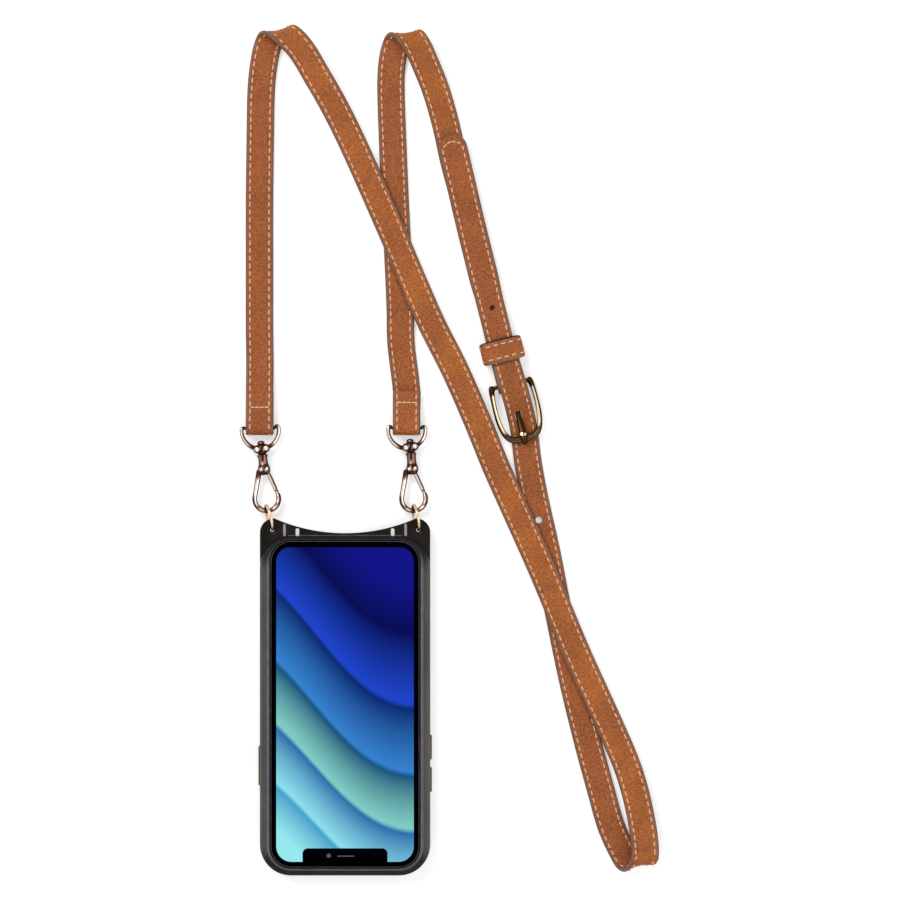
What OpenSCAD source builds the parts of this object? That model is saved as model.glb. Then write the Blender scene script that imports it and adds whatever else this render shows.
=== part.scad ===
// Crossbody phone holder laid on its back on a table: a black phone case with two ears,
// hung by rings and swivel snap hooks from a long adjustable leather strap with a buckle.
// Millimetres, +Z up, +Y towards the strap's top folds, origin on the case's back face.

/* [Case] */
// Width of the case across its side walls
case_w = 78.2; // [74:0.2:86]
// Height of the tray that holds the phone, without the ears
case_h = 155.3; // [150:0.5:165]
// Thickness of the tray from its back to its lip
case_t = 10.6; // [10:0.2:12]
// Radius of the tray's corners in the front view
case_r = 14.3; // [12:0.5:18]
// Thickness of the back wall
back_t = 1.6; // [1.2:0.1:2]
// Thickness of the side walls
side_wall = 4.65; // [3.8:0.05:5]
// Thickness of the bottom wall
bottom_wall = 3.45; // [2.8:0.05:4]
// Thickness of the top wall, which carries the ear plate
top_wall = 1.45; // [1.2:0.05:2]
// Gap between the phone and the tray's walls
phone_fit = 0.3; // [0.2:0.05:0.5]
// Height of the ears above the tray
ear_rise = 8.6; // [8:0.2:10]
// Height of the plate above the tray in the middle of its hollow top edge
saddle_rise = 1.8; // [1.4:0.1:2.4]
// Thickness of the ear plate
ear_t = 2.4; // [2:0.1:3]
// Height of the ear plate's underside above the case's back
ear_z = 6.2; // [5.8:0.1:6.4]
// Distance from the case's side to the ear hole's centre
ear_inset = 5.6; // [5:0.1:6.4]
// Height of the ear hole's centre above the tray
ear_hole_rise = 2.45; // [2.4:0.05:2.8]
// Radius of the ear hole
ear_hole_r = 1.9; // [1.7:0.05:2.1]

/* [Phone] */
// Thickness of the phone
phone_t = 7.6; // [7:0.1:8.4]
// Radius of the phone's corners in the front view
phone_r = 9.6; // [8:0.2:11]
// Width of the black border round the display
bezel_w = 2.6; // [2:0.1:4]
// Width of the notch at the display's lower edge
notch_w = 39; // [30:1:42]
// Depth of the notch
notch_h = 6.2; // [4:0.2:7]
// Side of the square camera window in the case's back
camera_side = 31; // [26:0.5:33]

/* [Keys] */
// Length of the power key's pad on the left side
power_l = 18.4; // [14:0.2:20]
// Distance of the power pad's centre below the middle of the tray
power_y = 27.3; // [24:0.1:32]
// Length of each volume pad on the right side
volume_l = 11.4; // [9:0.2:12]
// Distance of the upper volume pad's centre below the middle of the tray
volume_y = 18.9; // [16:0.1:22]
// Distance between the centres of the two volume pads
volume_pitch = 14.9; // [14:0.1:17]
// Height of a pad, across the side wall
pad_h = 3.4; // [3:0.1:4]
// How far a pad stands out of the side wall
pad_proud = 0.75; // [0.5:0.05:1]
// How far a pad travels
pad_travel = 0.4; // [0.3:0.05:0.5]

/* [Rings] */
// Radius of a jump ring to the middle of its wire
ring_r = 5.9; // [5.6:0.05:6.2]
// Radius of the jump ring's wire
ring_wire_r = 0.65; // [0.55:0.05:0.75]
// Turn of the left ring about the vertical, in degrees
left_ring_turn = 14; // [8:0.5:16]
// Turn of the right ring about the vertical, in degrees
right_ring_turn = 10; // [6:0.5:14]

/* [Clips] */
// Distance of the clips' middle plane below the middle of the ears
clip_drop = 3.3; // [2.8:0.1:3.4]
// Radius of the D-ring's wire and bar
dring_wire_r = 0.9; // [0.8:0.05:1]
// Side gap between the strap and the D-ring's arms
dring_gap = 1.3; // [0.8:0.1:1.8]
// Straight part of the D-ring's arms, next to the bar
dring_arm = 2.5; // [2:0.1:4]
// Lean of the snap hook to the right, in degrees
clip_lean = 8; // [4:0.5:9]
// Radius of the D-ring's boss that the swivel turns in
boss_r = 3.1; // [2.8:0.05:3.3]
// Length of the boss
boss_l = 5.3; // [4.8:0.1:6]
// Radius of the swivel rivet's shaft
rivet_r = 1.3; // [1.1:0.05:1.5]
// Radius of the rivet's domed head
rivet_head_r = 1.9; // [1.7:0.05:2.2]
// Radius of the hook's neck
neck_r = 2.7; // [2.4:0.05:2.9]
// Length of the hook's neck
neck_l = 4.4; // [4:0.1:5]
// Radius of the hook's collar
collar_r = 3.1; // [2.9:0.05:3.3]
// Length of the hook's collar
collar_l = 4.2; // [4:0.1:4.6]
// Radius of the hook's wire
hook_wire_r = 0.92; // [0.85:0.01:1]
// Radius of the hook's round end to the middle of its wire
hook_r = 5.6; // [5.2:0.1:6]
// Distance from the collar's end to the middle of the hook's round end
hook_reach = 11; // [10:0.2:12]
// Radius of the gate's pin
gate_pin_r = 0.5; // [0.45:0.01:0.55]

/* [Strap] */
// Width of the strap
strap_w = 12.7; // [12:0.1:13.4]
// Thickness of the strap, two plies together
strap_t = 2.2; // [2:0.05:2.4]
// Length of the lay, from the top folds to the bottom fold
lay_l = 388; // [384:1:392]
// Radius of the strap's loose folds to its middle
fold_r = 4.1; // [3.6:0.1:5]
// Length of the strap's end that is turned back round a D-ring
tail_l = 17; // [15:0.5:19]
// Radius of the punched holes
punch_r = 1.5; // [1.3:0.05:1.7]
// Gap between straps that cross
cross_gap = 0.4; // [0.3:0.05:0.6]
// Gap between the strap and a bar that it is turned round
eye_gap = 0.15; // [0.1:0.01:0.25]

/* [Buckle] */
// Radius of the buckle's heel bar
heel_r = 1; // [0.9:0.05:1.1]
// Radius of the buckle's front bar
front_r = 1.5; // [1.3:0.05:1.7]
// Radius of the buckle's side bars
side_r = 1.1; // [1:0.05:1.2]
// Distance from the heel bar to the front bar
buckle_l = 25.8; // [25:0.1:27]
// Side gap between the strap and the buckle
buckle_gap = 2.15; // [1.8:0.05:2.6]
// Radius of the buckle's front corners
buckle_corner_r = 7; // [6:0.2:8]
// Width of the prong
prong_w = 2; // [1.8:0.1:2.2]
// Thickness of the prong
prong_t = 1.4; // [1.2:0.05:1.5]
// Length of the keeper along the strap
keeper_l = 10.6; // [9:0.2:11]
// Thickness of the keeper's leather
keeper_t = 1.4; // [1.2:0.05:1.6]
// Gap between the keeper and the strap's edges
keeper_gap = 2.1; // [1.6:0.1:2.4]
// Distance from the heel bar to the keeper's middle
keeper_at = 16; // [15.6:0.1:17]
// How far the keeper slides up the strap
keeper_travel = 6.7; // [4:0.1:7]

/* [Hidden] */
$fn = 48;
// Overrun of every cut past the face it opens
over = 0.5;
// Gap of a running fit and of a part that lies on another
run_gap = 0.05;
rest_gap = 0.3;
// Gap between two links of the chain where they bear on each other
hook_link_gap = 0.35;
ear_link_gap = 0.5;

case_black = [0.07, 0.07, 0.08];
glass_black = [0.02, 0.02, 0.03];
leather = [0.62, 0.33, 0.15];
bronze = [0.3, 0.23, 0.17];
brass = [0.72, 0.55, 0.3];

// Phone bay: the tray's hollow
bay_w = case_w - 2 * side_wall;
bay_h = case_h - top_wall - bottom_wall;
bay_y = (bottom_wall - top_wall) / 2;
phone_w = bay_w - 2 * phone_fit;
phone_h = bay_h - 2 * phone_fit;
phone_z = back_t + phone_fit;
glass_t = 0.8;
frame_t = phone_t - 2 * glass_t;
key_proud = 0.15;
key_h = 2.2;
key_mid_z = phone_z + phone_t / 2;
camera_gap = 1.2;
camera_r = 7;
camera_t = back_t + phone_fit - 0.5 * glass_t;
camera_at = [-bay_w / 2 + camera_side / 2 + 3 * camera_gap,
             bay_y - bay_h / 2 + camera_side / 2 + 3 * camera_gap];

// Chain from an ear to the strap, worked out from the ear hole
ear_x = case_w / 2 - ear_inset;
ear_wire_y = case_h / 2 + ear_hole_rise + ear_hole_r - ring_wire_r - ear_link_gap;
ring_z = ear_z + ear_t / 2;
clip_z = ring_z - clip_drop;
hook_turn_v = boss_l / 2 + run_gap + neck_l + collar_l + hook_reach;
hook_turn_u = -0.1 * hook_r;
hook_end_v = hook_turn_v + sqrt(pow(hook_r, 2) - pow(hook_turn_u, 2));
hook_in_ring = ring_r - ring_wire_r - hook_wire_r - hook_link_gap;
hook_y = ear_wire_y + ring_r + sqrt(pow(hook_in_ring, 2) - pow(clip_drop, 2)) - run_gap;
hub_y = hook_y + hook_end_v * cos(clip_lean);
bar_half = strap_w / 2 + dring_gap + dring_wire_r;
bar_y = hub_y + bar_half + dring_arm;
function hook_x(side, turn) = side * ear_x - (hook_y - ear_wire_y) * tan(turn);
function hub_x(side, turn) = hook_x(side, turn) - hook_end_v * sin(clip_lean);
left_hub_x = hub_x(-1, left_ring_turn);
right_hub_x = hub_x(1, right_ring_turn);

// Snap hook in its own plane: u across, v down from the D-ring's lowest point
collar_v = boss_l / 2 + run_gap + neck_l;
limb_start = [-0.75 * collar_r, collar_v + 0.6 * collar_l];
gate_at = [0.52 * collar_r, collar_v + 0.7 * collar_l];
gate_r = 0.92 * hook_wire_r;
gate_eye_r = 0.95;
gate_eye_t = 1.5;
gate_slot = gate_eye_t + 2 * rest_gap;
nose_angle = -10;
nose_gap = 0.2;
nose_at = [hook_turn_u + hook_r * cos(nose_angle), hook_turn_v + hook_r * sin(nose_angle)];

// Heights of the straps' middles above the table
lay_z = strap_t / 2;
over_z = lay_z + strap_t + cross_gap;
fold_z = lay_z + 2 * fold_r;
loop_r = dring_wire_r + eye_gap + strap_t / 2;
tail_z = lay_z + strap_t + eye_gap + run_gap;

// Buckle's place and heights, and distances along the strap from the heel bar
buckle_turn = 14.1;
buckle_z = strap_t + rest_gap + front_r;
heel_loop_r = heel_r + eye_gap + strap_t / 2;
buckle_half = strap_w / 2 + buckle_gap + side_r;
slant_side = strap_w / 2 + buckle_half + side_r;
// The lay hangs from the D-rings' bars, whose middle has this place in it
bars_share = [-0.014427, 0.328804];
lay_from = [(left_hub_x + right_hub_x) / 2, bar_y] - bars_share * lay_l;
heel_at = sh([0.154, 0.339], 0) + 0.9558 * slant_side * [1, 1, 0];
stack_gap = rest_gap;
keeper_strap_z = keeper_t + rest_gap + strap_t / 2;
// Distance from the heel bar to the far end of the level run that the keeper slides along
level_l = keeper_at + keeper_travel + keeper_l / 2;
stack_z = strap_t + stack_gap;
prong_rise = front_r + prong_t / 2 + run_gap;
slot_w = prong_w + 2 * rest_gap;
slot_from = 0.28 * buckle_l;
slot_to = 0.6 * buckle_l;
function bk(s, z) = [heel_at[0] + s * sin(buckle_turn), heel_at[1] - s * cos(buckle_turn), z];
function sh(p, z) = [lay_from[0] + p[0] * lay_l, lay_from[1] + p[1] * lay_l, z];

// Headings of the strap where each loose fold starts and ends, in degrees from +X
top_fold_in = 68;
top_fold_out = -42;
next_fold_in = 70;
next_fold_out = -58;
low_fold_in = -90;
low_fold_out = 117;

// Vector helpers
function unit(v) = v / norm(v);
function flat(p) = [p[0], p[1], 0];
function heading(a) = [cos(a), sin(a), 0];
function flip_sign(x) = x < 0 ? -1 : 1;

// A smooth run through points: cubic pieces whose slopes follow the chords.
// It starts along h0 and ends along h1, and returns [point, outer face's normal].
function chord(p, i) = norm(p[i + 1] - p[i]);
function slope(p, i, h0, h1) =
    i == 0 ? h0 :
    i == len(p) - 1 ? h1 :
    (p[i + 1] - p[i - 1]) / (chord(p, i - 1) + chord(p, i));
function cubic(a, b, ta, tb, t) =
    (2 * pow(t, 3) - 3 * pow(t, 2) + 1) * a + (pow(t, 3) - 2 * pow(t, 2) + t) * ta
    + (3 * pow(t, 2) - 2 * pow(t, 3)) * b + (pow(t, 3) - pow(t, 2)) * tb;
function cubic_slope(a, b, ta, tb, t) =
    6 * (pow(t, 2) - t) * a + (3 * pow(t, 2) - 4 * t + 1) * ta
    + 6 * (t - pow(t, 2)) * b + (3 * pow(t, 2) - 2 * t) * tb;
function up_normal(t) = let (d = unit(t)) unit([0, 0, 1] - d[2] * d);
run_step = 2.9 * strap_t;
function run(p, h0, h1, face, last = false) = [
    for (i = [0 : len(p) - 2])
        let (d = chord(p, i), ta = slope(p, i, h0, h1) * d, tb = slope(p, i + 1, h0, h1) * d,
             n = max(1, round(d / run_step)))
        for (k = [0 : (last && i == len(p) - 2 ? n : n - 1)])
            [cubic(p[i], p[i + 1], ta, tb, k / n),
             face * up_normal(cubic_slope(p[i], p[i + 1], ta, tb, k / n))]
];

// A half turn over an unseen round form, from p0 along h0 to p1 along h1.
// Its middle line lies on a cylinder whose axis halves the angle between the two runs.
function turn(p0, p1, h0, h1, face, n) =
    let (e = unit(h0 - h1), c = [e[1], -e[0], 0], rz = (p1[2] - p0[2]) / 2,
         re = abs(rz), shift = flat(p1 - p0), k = shift * e / PI,
         m0 = PI * re * (h0 * c) / (h0 * e), m1 = -PI * re * (h1 * c) / (h1 * e))
    [for (i = [0 : n - 1])
        let (t = i / n, a = 180 * t,
             along = (3 * pow(t, 2) - 2 * pow(t, 3)) * (shift * c)
                     + (pow(t, 3) - 2 * pow(t, 2) + t) * m0 + (pow(t, 3) - pow(t, 2)) * m1,
             outward = re * sin(a) + k * PI * t,
             lift = rz * (1 - cos(a)))
        [p0 + outward * e + along * c + [0, 0, lift],
         face * unit(abs(rz) * sin(a) * e
                     - [0, 0, flip_sign(rz) * (re * cos(a) + k)])]];

// The middle line of a strap as [point, normal] pairs becomes one ply of it.
// low and high are the ply's faces, measured along the normal from the middle.
function tangent(f, i) =
    unit(f[min(i + 1, len(f) - 1)][0] - f[max(i - 1, 0)][0]);
function tip_share(f, i, tip) =
    tip == 0 ? 1 :
    let (left = norm(f[len(f) - 1][0] - f[i][0])) left >= tip ? 1 : 0.8 + 0.2 * sqrt(left / tip);
module ply(f, low, high, diagonal, tip = 0) {
    n = len(f);
    points = [
        for (i = [0 : n - 1])
            let (t = tangent(f, i), w = unit(cross(f[i][1], t)), up = cross(t, w),
                 half = strap_w / 2 * tip_share(f, i, tip))
            each [f[i][0] + half * w + low * up, f[i][0] + half * w + high * up,
                  f[i][0] - half * w + high * up, f[i][0] - half * w + low * up]
    ];
    sides = [
        for (i = [0 : n - 2]) for (k = [0 : 3])
            let (a = 4 * i + k, b = 4 * i + (k + 1) % 4, c = a + 4, d = b + 4)
            each diagonal == 0 ? [[a, b, d], [a, d, c]] : [[a, b, c], [b, d, c]]
    ];
    caps = [[2, 1, 0], [3, 2, 0],
            [4 * n - 4, 4 * n - 3, 4 * n - 2], [4 * n - 4, 4 * n - 2, 4 * n - 1]];
    polyhedron(points = points, faces = concat(sides, caps));
}

// Long strap: tail, D-ring loop, left limb, top fold, long slant, low fold, tongue
up_h = [0, 1, 0];
down_h = [0, -1, 0];
turn_steps = 12;
tongue_h = [-sin(buckle_turn), cos(buckle_turn), 0];
function at_bar(x, along, z) = [x, bar_y + along, z];
left_limb_shares = [[-0.102, 0.45], [-0.102, 0.52], [-0.102, 0.6], [-0.101, 0.683],
                    [-0.1, 0.73], [-0.097, 0.76]];
slant_shares = [[0.047, 0.581], [0.1, 0.458], [0.13, 0.398], [0.154, 0.339], [0.177, 0.285],
                [0.199, 0.238], [0.233, 0.162], [0.274, 0.064], [0.317, -0.031]];
low_limb_shares = [[0.316, -0.145], [0.303, -0.1], [0.287, -0.041], [0.27, 0.029],
                   [0.25, 0.125], [0.238, 0.186], [0.225, 0.244]];
low_limb_end = bk(1.42 * buckle_l, lay_z) - [0.075 * strap_w, 0, 0];
tongue_shares = [[0.148, 0.576], [0.125, 0.674]];
top_fold = [sh([-0.091, 0.786], lay_z), sh([-0.063, 0.789], fold_z)];
low_fold = [sh([0.355, -0.175], fold_z), sh([0.332, -0.179], lay_z)];
leg_low = clip_z - loop_r;
leg_high = clip_z + loop_r;
long_line = concat(
    run([at_bar(left_hub_x, tail_l, lay_z),
         at_bar(left_hub_x, tail_l / 2, (lay_z + leg_low) / 2),
         at_bar(left_hub_x, 0, leg_low)], down_h, down_h, 1),
    turn(at_bar(left_hub_x, 0, leg_low), at_bar(left_hub_x, 0, leg_high), down_h, up_h,
         -1, turn_steps),
    run(concat([at_bar(left_hub_x, 0, leg_high),
                at_bar(left_hub_x, tail_l / 2, (tail_z + leg_high) / 2),
                at_bar(left_hub_x, tail_l, tail_z),
                at_bar(left_hub_x, 1.2 * tail_l, tail_z - 0.2 * strap_t),
                at_bar(left_hub_x, 1.8 * tail_l, lay_z)],
               [for (p = left_limb_shares) sh(p, lay_z)], [top_fold[0]]),
        up_h, heading(top_fold_in), -1),
    turn(top_fold[0], top_fold[1], heading(top_fold_in), heading(top_fold_out), 1, turn_steps),
    run(concat([top_fold[1], sh([-0.031, 0.742], 0.55 * fold_z + 0.45 * over_z),
                sh([0, 0.685], 0.15 * fold_z + 0.85 * over_z)],
               [for (p = slant_shares) sh(p, over_z)],
               [sh([0.336, -0.077], 0.85 * over_z + 0.15 * fold_z),
                sh([0.349, -0.126], 0.4 * over_z + 0.6 * fold_z), low_fold[0]]),
        heading(top_fold_out), heading(low_fold_in), 1),
    turn(low_fold[0], low_fold[1], heading(low_fold_in), heading(low_fold_out), 1, turn_steps),
    run(concat([low_fold[1]], [for (p = low_limb_shares) sh(p, lay_z)],
               [low_limb_end, bk(buckle_l, lay_z), bk(0.8 * buckle_l, lay_z + 0.05 * strap_t),
                bk(0.66 * buckle_l, lay_z + 0.4 * strap_t),
                bk(0.5 * buckle_l, buckle_z + 0.1 * strap_t),
                bk(0.35 * buckle_l, buckle_z + 1.35 * strap_t),
                bk(0.2 * buckle_l, buckle_z + heel_loop_r + stack_z - 0.15 * strap_t),
                bk(0, buckle_z + heel_loop_r + stack_z),
                bk(-0.27 * keeper_at,
                   (buckle_z + heel_loop_r + keeper_strap_z) / 2 + stack_z + 0.2 * strap_t),
                bk(-0.7 * keeper_at, keeper_strap_z + stack_z),
                bk(-keeper_at, keeper_strap_z + stack_z),
                bk(-level_l, keeper_strap_z + stack_z),
                bk(-level_l - 2 * keeper_l, lay_z + stack_z)],
               [for (p = tongue_shares) sh(p, lay_z + stack_z)]),
        heading(low_fold_out), tongue_h, -1, true)
);

// Short strap: tail, D-ring loop, right limb, fold, outer limb, loop round the heel bar, tail
right_limb_shares = [[0.066, 0.43], [0.065, 0.472], [0.062, 0.54], [0.059, 0.6],
                     [0.056, 0.671], [0.054, 0.736], [0.0555, 0.763]];
next_fold = [sh([0.06, 0.783], lay_z), sh([0.083, 0.785], fold_z)];
heel_tail_l = 0.27 * buckle_l;
short_line = concat(
    run([at_bar(right_hub_x, tail_l, tail_z),
         at_bar(right_hub_x, tail_l / 2, (tail_z + leg_high) / 2),
         at_bar(right_hub_x, 0, leg_high)], down_h, down_h, 1),
    turn(at_bar(right_hub_x, 0, leg_high), at_bar(right_hub_x, 0, leg_low), down_h, up_h,
         1, turn_steps),
    run(concat([at_bar(right_hub_x, 0, leg_low),
                at_bar(right_hub_x, tail_l / 2, (lay_z + leg_low) / 2),
                at_bar(right_hub_x, tail_l, lay_z)],
               [for (p = right_limb_shares) sh(p, lay_z)], [next_fold[0]]),
        up_h, heading(next_fold_in), -1),
    turn(next_fold[0], next_fold[1], heading(next_fold_in), heading(next_fold_out), 1, turn_steps),
    run([next_fold[1], sh([0.097, 0.756], 0.55 * fold_z + 0.45 * lay_z),
         sh([0.108, 0.728], 0.2 * fold_z + 0.8 * lay_z), sh([0.119, 0.69], lay_z),
         sh([0.13, 0.641], lay_z), sh([0.148, 0.576], lay_z),
         bk(-level_l - 2 * keeper_l, lay_z),
         bk(-level_l, keeper_strap_z), bk(-keeper_at, keeper_strap_z),
         bk(-0.7 * keeper_at, keeper_strap_z),
         bk(-0.27 * keeper_at, (buckle_z + heel_loop_r + keeper_strap_z) / 2 + 0.2 * strap_t),
         bk(0, buckle_z + heel_loop_r)],
        heading(next_fold_out), -tongue_h, 1),
    turn(bk(0, buckle_z + heel_loop_r), bk(0, buckle_z - heel_loop_r), -tongue_h, tongue_h,
         1, turn_steps),
    run([bk(0, buckle_z - heel_loop_r), bk(-heel_tail_l / 2, lay_z + 0.15 * strap_t),
         bk(-heel_tail_l, lay_z + 0.05 * strap_t)], tongue_h, tongue_h, -1, true)
);

// Outlines and shared shapes
module rounded(w, h, r) {
    for (sx = [-1, 1]) for (sy = [-1, 1])
        translate([sx * (w / 2 - r), sy * (h / 2 - r)]) circle(r);
    square([w - 2 * r, h], center = true);
    square([w, h - 2 * r], center = true);
}
module slab(w, h, t, r, y, z) {
    translate([0, y, z]) linear_extrude(t) rounded(w, h, r);
}
module rod(a, b, r) {
    d = b - a;
    translate(a)
        rotate([0, acos(d[2] / norm(d)), atan2(d[1], d[0])])
            cylinder(h = norm(d), r = r);
}
module torus(r, wire) {
    rotate_extrude() translate([r, 0]) circle(wire, $fn = 24);
}
module arc_rod(r, wire, from, sweep) {
    rotate([0, 0, from]) rotate_extrude(angle = sweep) translate([r, 0]) circle(wire, $fn = 24);
}

// Case. The ear plate's hollow top edge is an arc through the two ears and the saddle.
ear_r = 0.75 * ear_rise;
saddle_half = 0.97 * ear_x;
saddle_depth = ear_rise - saddle_rise;
saddle_r = (pow(saddle_half, 2) + pow(saddle_depth, 2)) / (2 * saddle_depth);
rib_h = 0.6;
module ear_outline() {
    difference() {
        union() {
            translate([-case_w / 2, case_h / 2 - 2 * case_r])
                square([case_w, 2 * case_r + ear_rise - ear_r]);
            translate([-case_w / 2 + ear_r, case_h / 2 - 2 * case_r])
                square([case_w - 2 * ear_r, 2 * case_r + ear_rise]);
            for (side = [-1, 1])
                translate([side * (case_w / 2 - ear_r), case_h / 2 + ear_rise - ear_r]) circle(ear_r);
        }
        translate([0, case_h / 2 + saddle_rise + saddle_r]) circle(saddle_r, $fn = 96);
        square([case_w - 2 * side_wall, case_h - 2 * top_wall], center = true);
    }
}
// The ear's hole has a rounded wall, so that the ring can tip in it
module ear_hole() {
    rim_r = ear_t / 2;
    difference() {
        translate([0, 0, -over]) cylinder(h = ear_t + 2 * over, r = ear_hole_r + rim_r);
        translate([0, 0, rim_r]) torus(ear_hole_r + rim_r, rim_r);
    }
}
module ear_plate() {
    translate([0, 0, ear_z]) difference() {
        linear_extrude(ear_t) ear_outline();
        for (side = [-1, 1])
            translate([side * ear_x, case_h / 2 + ear_hole_rise, 0]) ear_hole();
    }
}
module ear_ribs() {
    for (side = [-1, 1]) {
        translate([side * 0.82 * ear_x, case_h / 2 - over, ear_z + ear_t])
            cube([0.2 * ear_inset, 0.56 * ear_rise + over, rib_h]);
        translate([side * 0.64 * ear_x - 0.2 * ear_inset, case_h / 2 - over, ear_z + ear_t])
            cube([0.4 * ear_inset, 0.36 * ear_rise + over, rib_h]);
    }
}
module bay() {
    translate([0, bay_y, back_t]) linear_extrude(case_t) rounded(bay_w, bay_h, phone_r + phone_fit);
}
module key_window(side, y, l) {
    translate([side * (case_w / 2 - side_wall / 2), -y, key_mid_z])
        cube([side_wall + 2 * over, l + 2 * rest_gap, pad_h + 2 * rest_gap], center = true);
}
module case_shell() {
    port_w = 0.18 * case_w;
    port_h = 0.4 * phone_t;
    switch_l = 0.5 * volume_l;
    color(case_black) difference() {
        union() {
            slab(case_w, case_h, case_t, case_r, 0, 0);
            ear_plate();
            ear_ribs();
        }
        bay();
        translate([camera_at[0], camera_at[1], -over])
            linear_extrude(back_t + 2 * over) rounded(camera_side, camera_side, camera_r);
        key_window(-1, power_y, power_l);
        key_window(1, volume_y, volume_l);
        key_window(1, volume_y + volume_pitch, volume_l);
        key_window(1, volume_y + 1.85 * volume_pitch, switch_l);
        translate([0, case_h / 2, ear_z - port_h / 2 - rest_gap])
            cube([port_w, 2 * (top_wall + over), port_h], center = true);
    }
}
// A pad sits in its window in the side wall and slides in to press the phone's key
module pad(side, y, l) {
    pad_in = bay_w / 2 + pad_travel - phone_fit + key_proud + run_gap;
    pad_out = case_w / 2 + pad_proud;
    color(case_black)
        translate([side * (pad_in + pad_out) / 2, -y, key_mid_z])
            cube([pad_out - pad_in, l, pad_h], center = true);
}
module power_pad() pad(-1, power_y, power_l);
module volume_up_pad() pad(1, volume_y, volume_l);
module volume_down_pad() pad(1, volume_y + volume_pitch, volume_l);

// Phone, upside down in the case, so its notch is at the bottom
module phone_frame() {
    color([0.1, 0.1, 0.12]) slab(phone_w, phone_h, frame_t, phone_r, bay_y, phone_z + glass_t);
}
module phone_back() {
    color([0.05, 0.07, 0.12]) slab(phone_w, phone_h, glass_t, phone_r, bay_y, phone_z);
}
module display_outline() {
    display_r = phone_r - bezel_w;
    display_h = phone_h - 2 * bezel_w;
    notch_r = 0.4 * notch_h;
    difference() {
        rounded(phone_w - 2 * bezel_w, display_h, display_r);
        translate([0, -display_h / 2]) rounded(notch_w, 2 * notch_h, notch_r);
    }
}
module phone_glass() {
    color(glass_black) translate([0, bay_y, phone_z + phone_t - glass_t])
        linear_extrude(glass_t) difference() {
            rounded(phone_w, phone_h, phone_r);
            display_outline();
        }
}
module phone_display() {
    color([0.1, 0.35, 0.7]) translate([0, bay_y, phone_z + phone_t - glass_t])
        linear_extrude(glass_t) display_outline();
}
module phone_camera() {
    side = camera_side - 2 * camera_gap;
    color(glass_black) difference() {
        translate([camera_at[0], camera_at[1], phone_z - camera_t + rest_gap / 2])
            linear_extrude(camera_t - rest_gap / 2) rounded(side, side, camera_r - camera_gap);
        for (s = [[-1, 1], [-1, -1], [1, 0]])
            translate([camera_at[0] + s[0] * side / 5, camera_at[1] + s[1] * side / 4,
                       phone_z - camera_t - over])
                cylinder(h = camera_t / 2 + over, r = side / 6);
    }
}
module phone_key(side, y, l) {
    translate([side * (phone_w / 2 + key_proud / 2), -y, key_mid_z])
        cube([key_proud, l, key_h], center = true);
}
module phone_power_key() color([0.16, 0.16, 0.18]) phone_key(-1, power_y, 0.8 * power_l);
module phone_volume_keys() {
    color([0.16, 0.16, 0.18]) {
        phone_key(1, volume_y, 0.85 * volume_l);
        phone_key(1, volume_y + volume_pitch, 0.85 * volume_l);
    }
}

// Jump ring on edge, through the ear's hole and round the hook's end
module jump_ring(side, turn_a) {
    color(brass)
        translate([side * ear_x - ring_r * sin(turn_a), ear_wire_y + ring_r * cos(turn_a), ring_z])
            rotate([0, 0, turn_a]) rotate([0, 90, 0]) torus(ring_r, ring_wire_r);
}
module ring_left() jump_ring(-1, left_ring_turn);
module ring_right() jump_ring(1, right_ring_turn);

// Snap hook clip. Its plane is local X and Y, with v running down along -Y.
module clip(x) translate([x, hub_y, clip_z]) rotate([0, 0, clip_lean]) children();
function uv(p) = [p[0], -p[1], 0];
module v_cylinder(from, to, r) {
    translate([0, -from, 0]) rotate([90, 0, 0]) cylinder(h = to - from, r = r);
}
module dring(x) {
    arm_y = bar_y - dring_arm;
    color(bronze) difference() {
        union() {
            rod([x - bar_half, bar_y, clip_z], [x + bar_half, bar_y, clip_z], dring_wire_r);
            for (side = [-1, 1]) {
                rod([x + side * bar_half, bar_y, clip_z], [x + side * bar_half, arm_y, clip_z], dring_wire_r);
                translate([x + side * bar_half, bar_y, clip_z]) sphere(dring_wire_r);
            }
            translate([x, arm_y, clip_z]) arc_rod(bar_half, dring_wire_r, 180, 180);
            clip(x) v_cylinder(-boss_l / 2, boss_l / 2, boss_r);
        }
        clip(x) v_cylinder(-boss_l / 2 - over, boss_l / 2 + over, rivet_r + run_gap);
    }
}
module swivel_rivet(x) {
    head_l = 0.8 * rivet_head_r;
    color(bronze) clip(x) {
        v_cylinder(-boss_l / 2 - run_gap, collar_v - 0.2 * neck_l, rivet_r);
        intersection() {
            translate([0, boss_l / 2 + run_gap, 0]) sphere(rivet_head_r);
            v_cylinder(-boss_l / 2 - run_gap - head_l, -boss_l / 2 - run_gap, rivet_head_r);
        }
    }
}
// The left limb runs straight from the collar and meets the round end where it is tangent
limb_v = [limb_start[0] - hook_turn_u, limb_start[1] - hook_turn_v];
limb_angle = atan2(limb_v[1], limb_v[0]) - acos(hook_r / norm(limb_v));
module hook(x) {
    limb_end = [hook_turn_u + hook_r * cos(limb_angle), hook_turn_v + hook_r * sin(limb_angle)];
    color(bronze) clip(x) difference() {
        union() {
            v_cylinder(boss_l / 2 + run_gap, collar_v, neck_r);
            v_cylinder(collar_v, collar_v + collar_l, collar_r);
            rod(uv(limb_start), uv(limb_end), hook_wire_r);
            translate(uv(limb_end)) sphere(hook_wire_r);
            translate(uv([hook_turn_u, hook_turn_v]))
                arc_rod(hook_r, hook_wire_r, -limb_angle - 360, 360 + limb_angle - nose_angle);
        }
        v_cylinder(boss_l / 2 - over, collar_v - 0.2 * neck_l, rivet_r);
        translate(uv(gate_at)) {
            cylinder(h = 4 * collar_r, r = gate_pin_r, center = true);
            translate([-gate_eye_r - rest_gap, -collar_l, -gate_slot / 2])
                cube([2 * collar_r, collar_l + gate_eye_r + rest_gap, gate_slot]);
        }
    }
}
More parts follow.
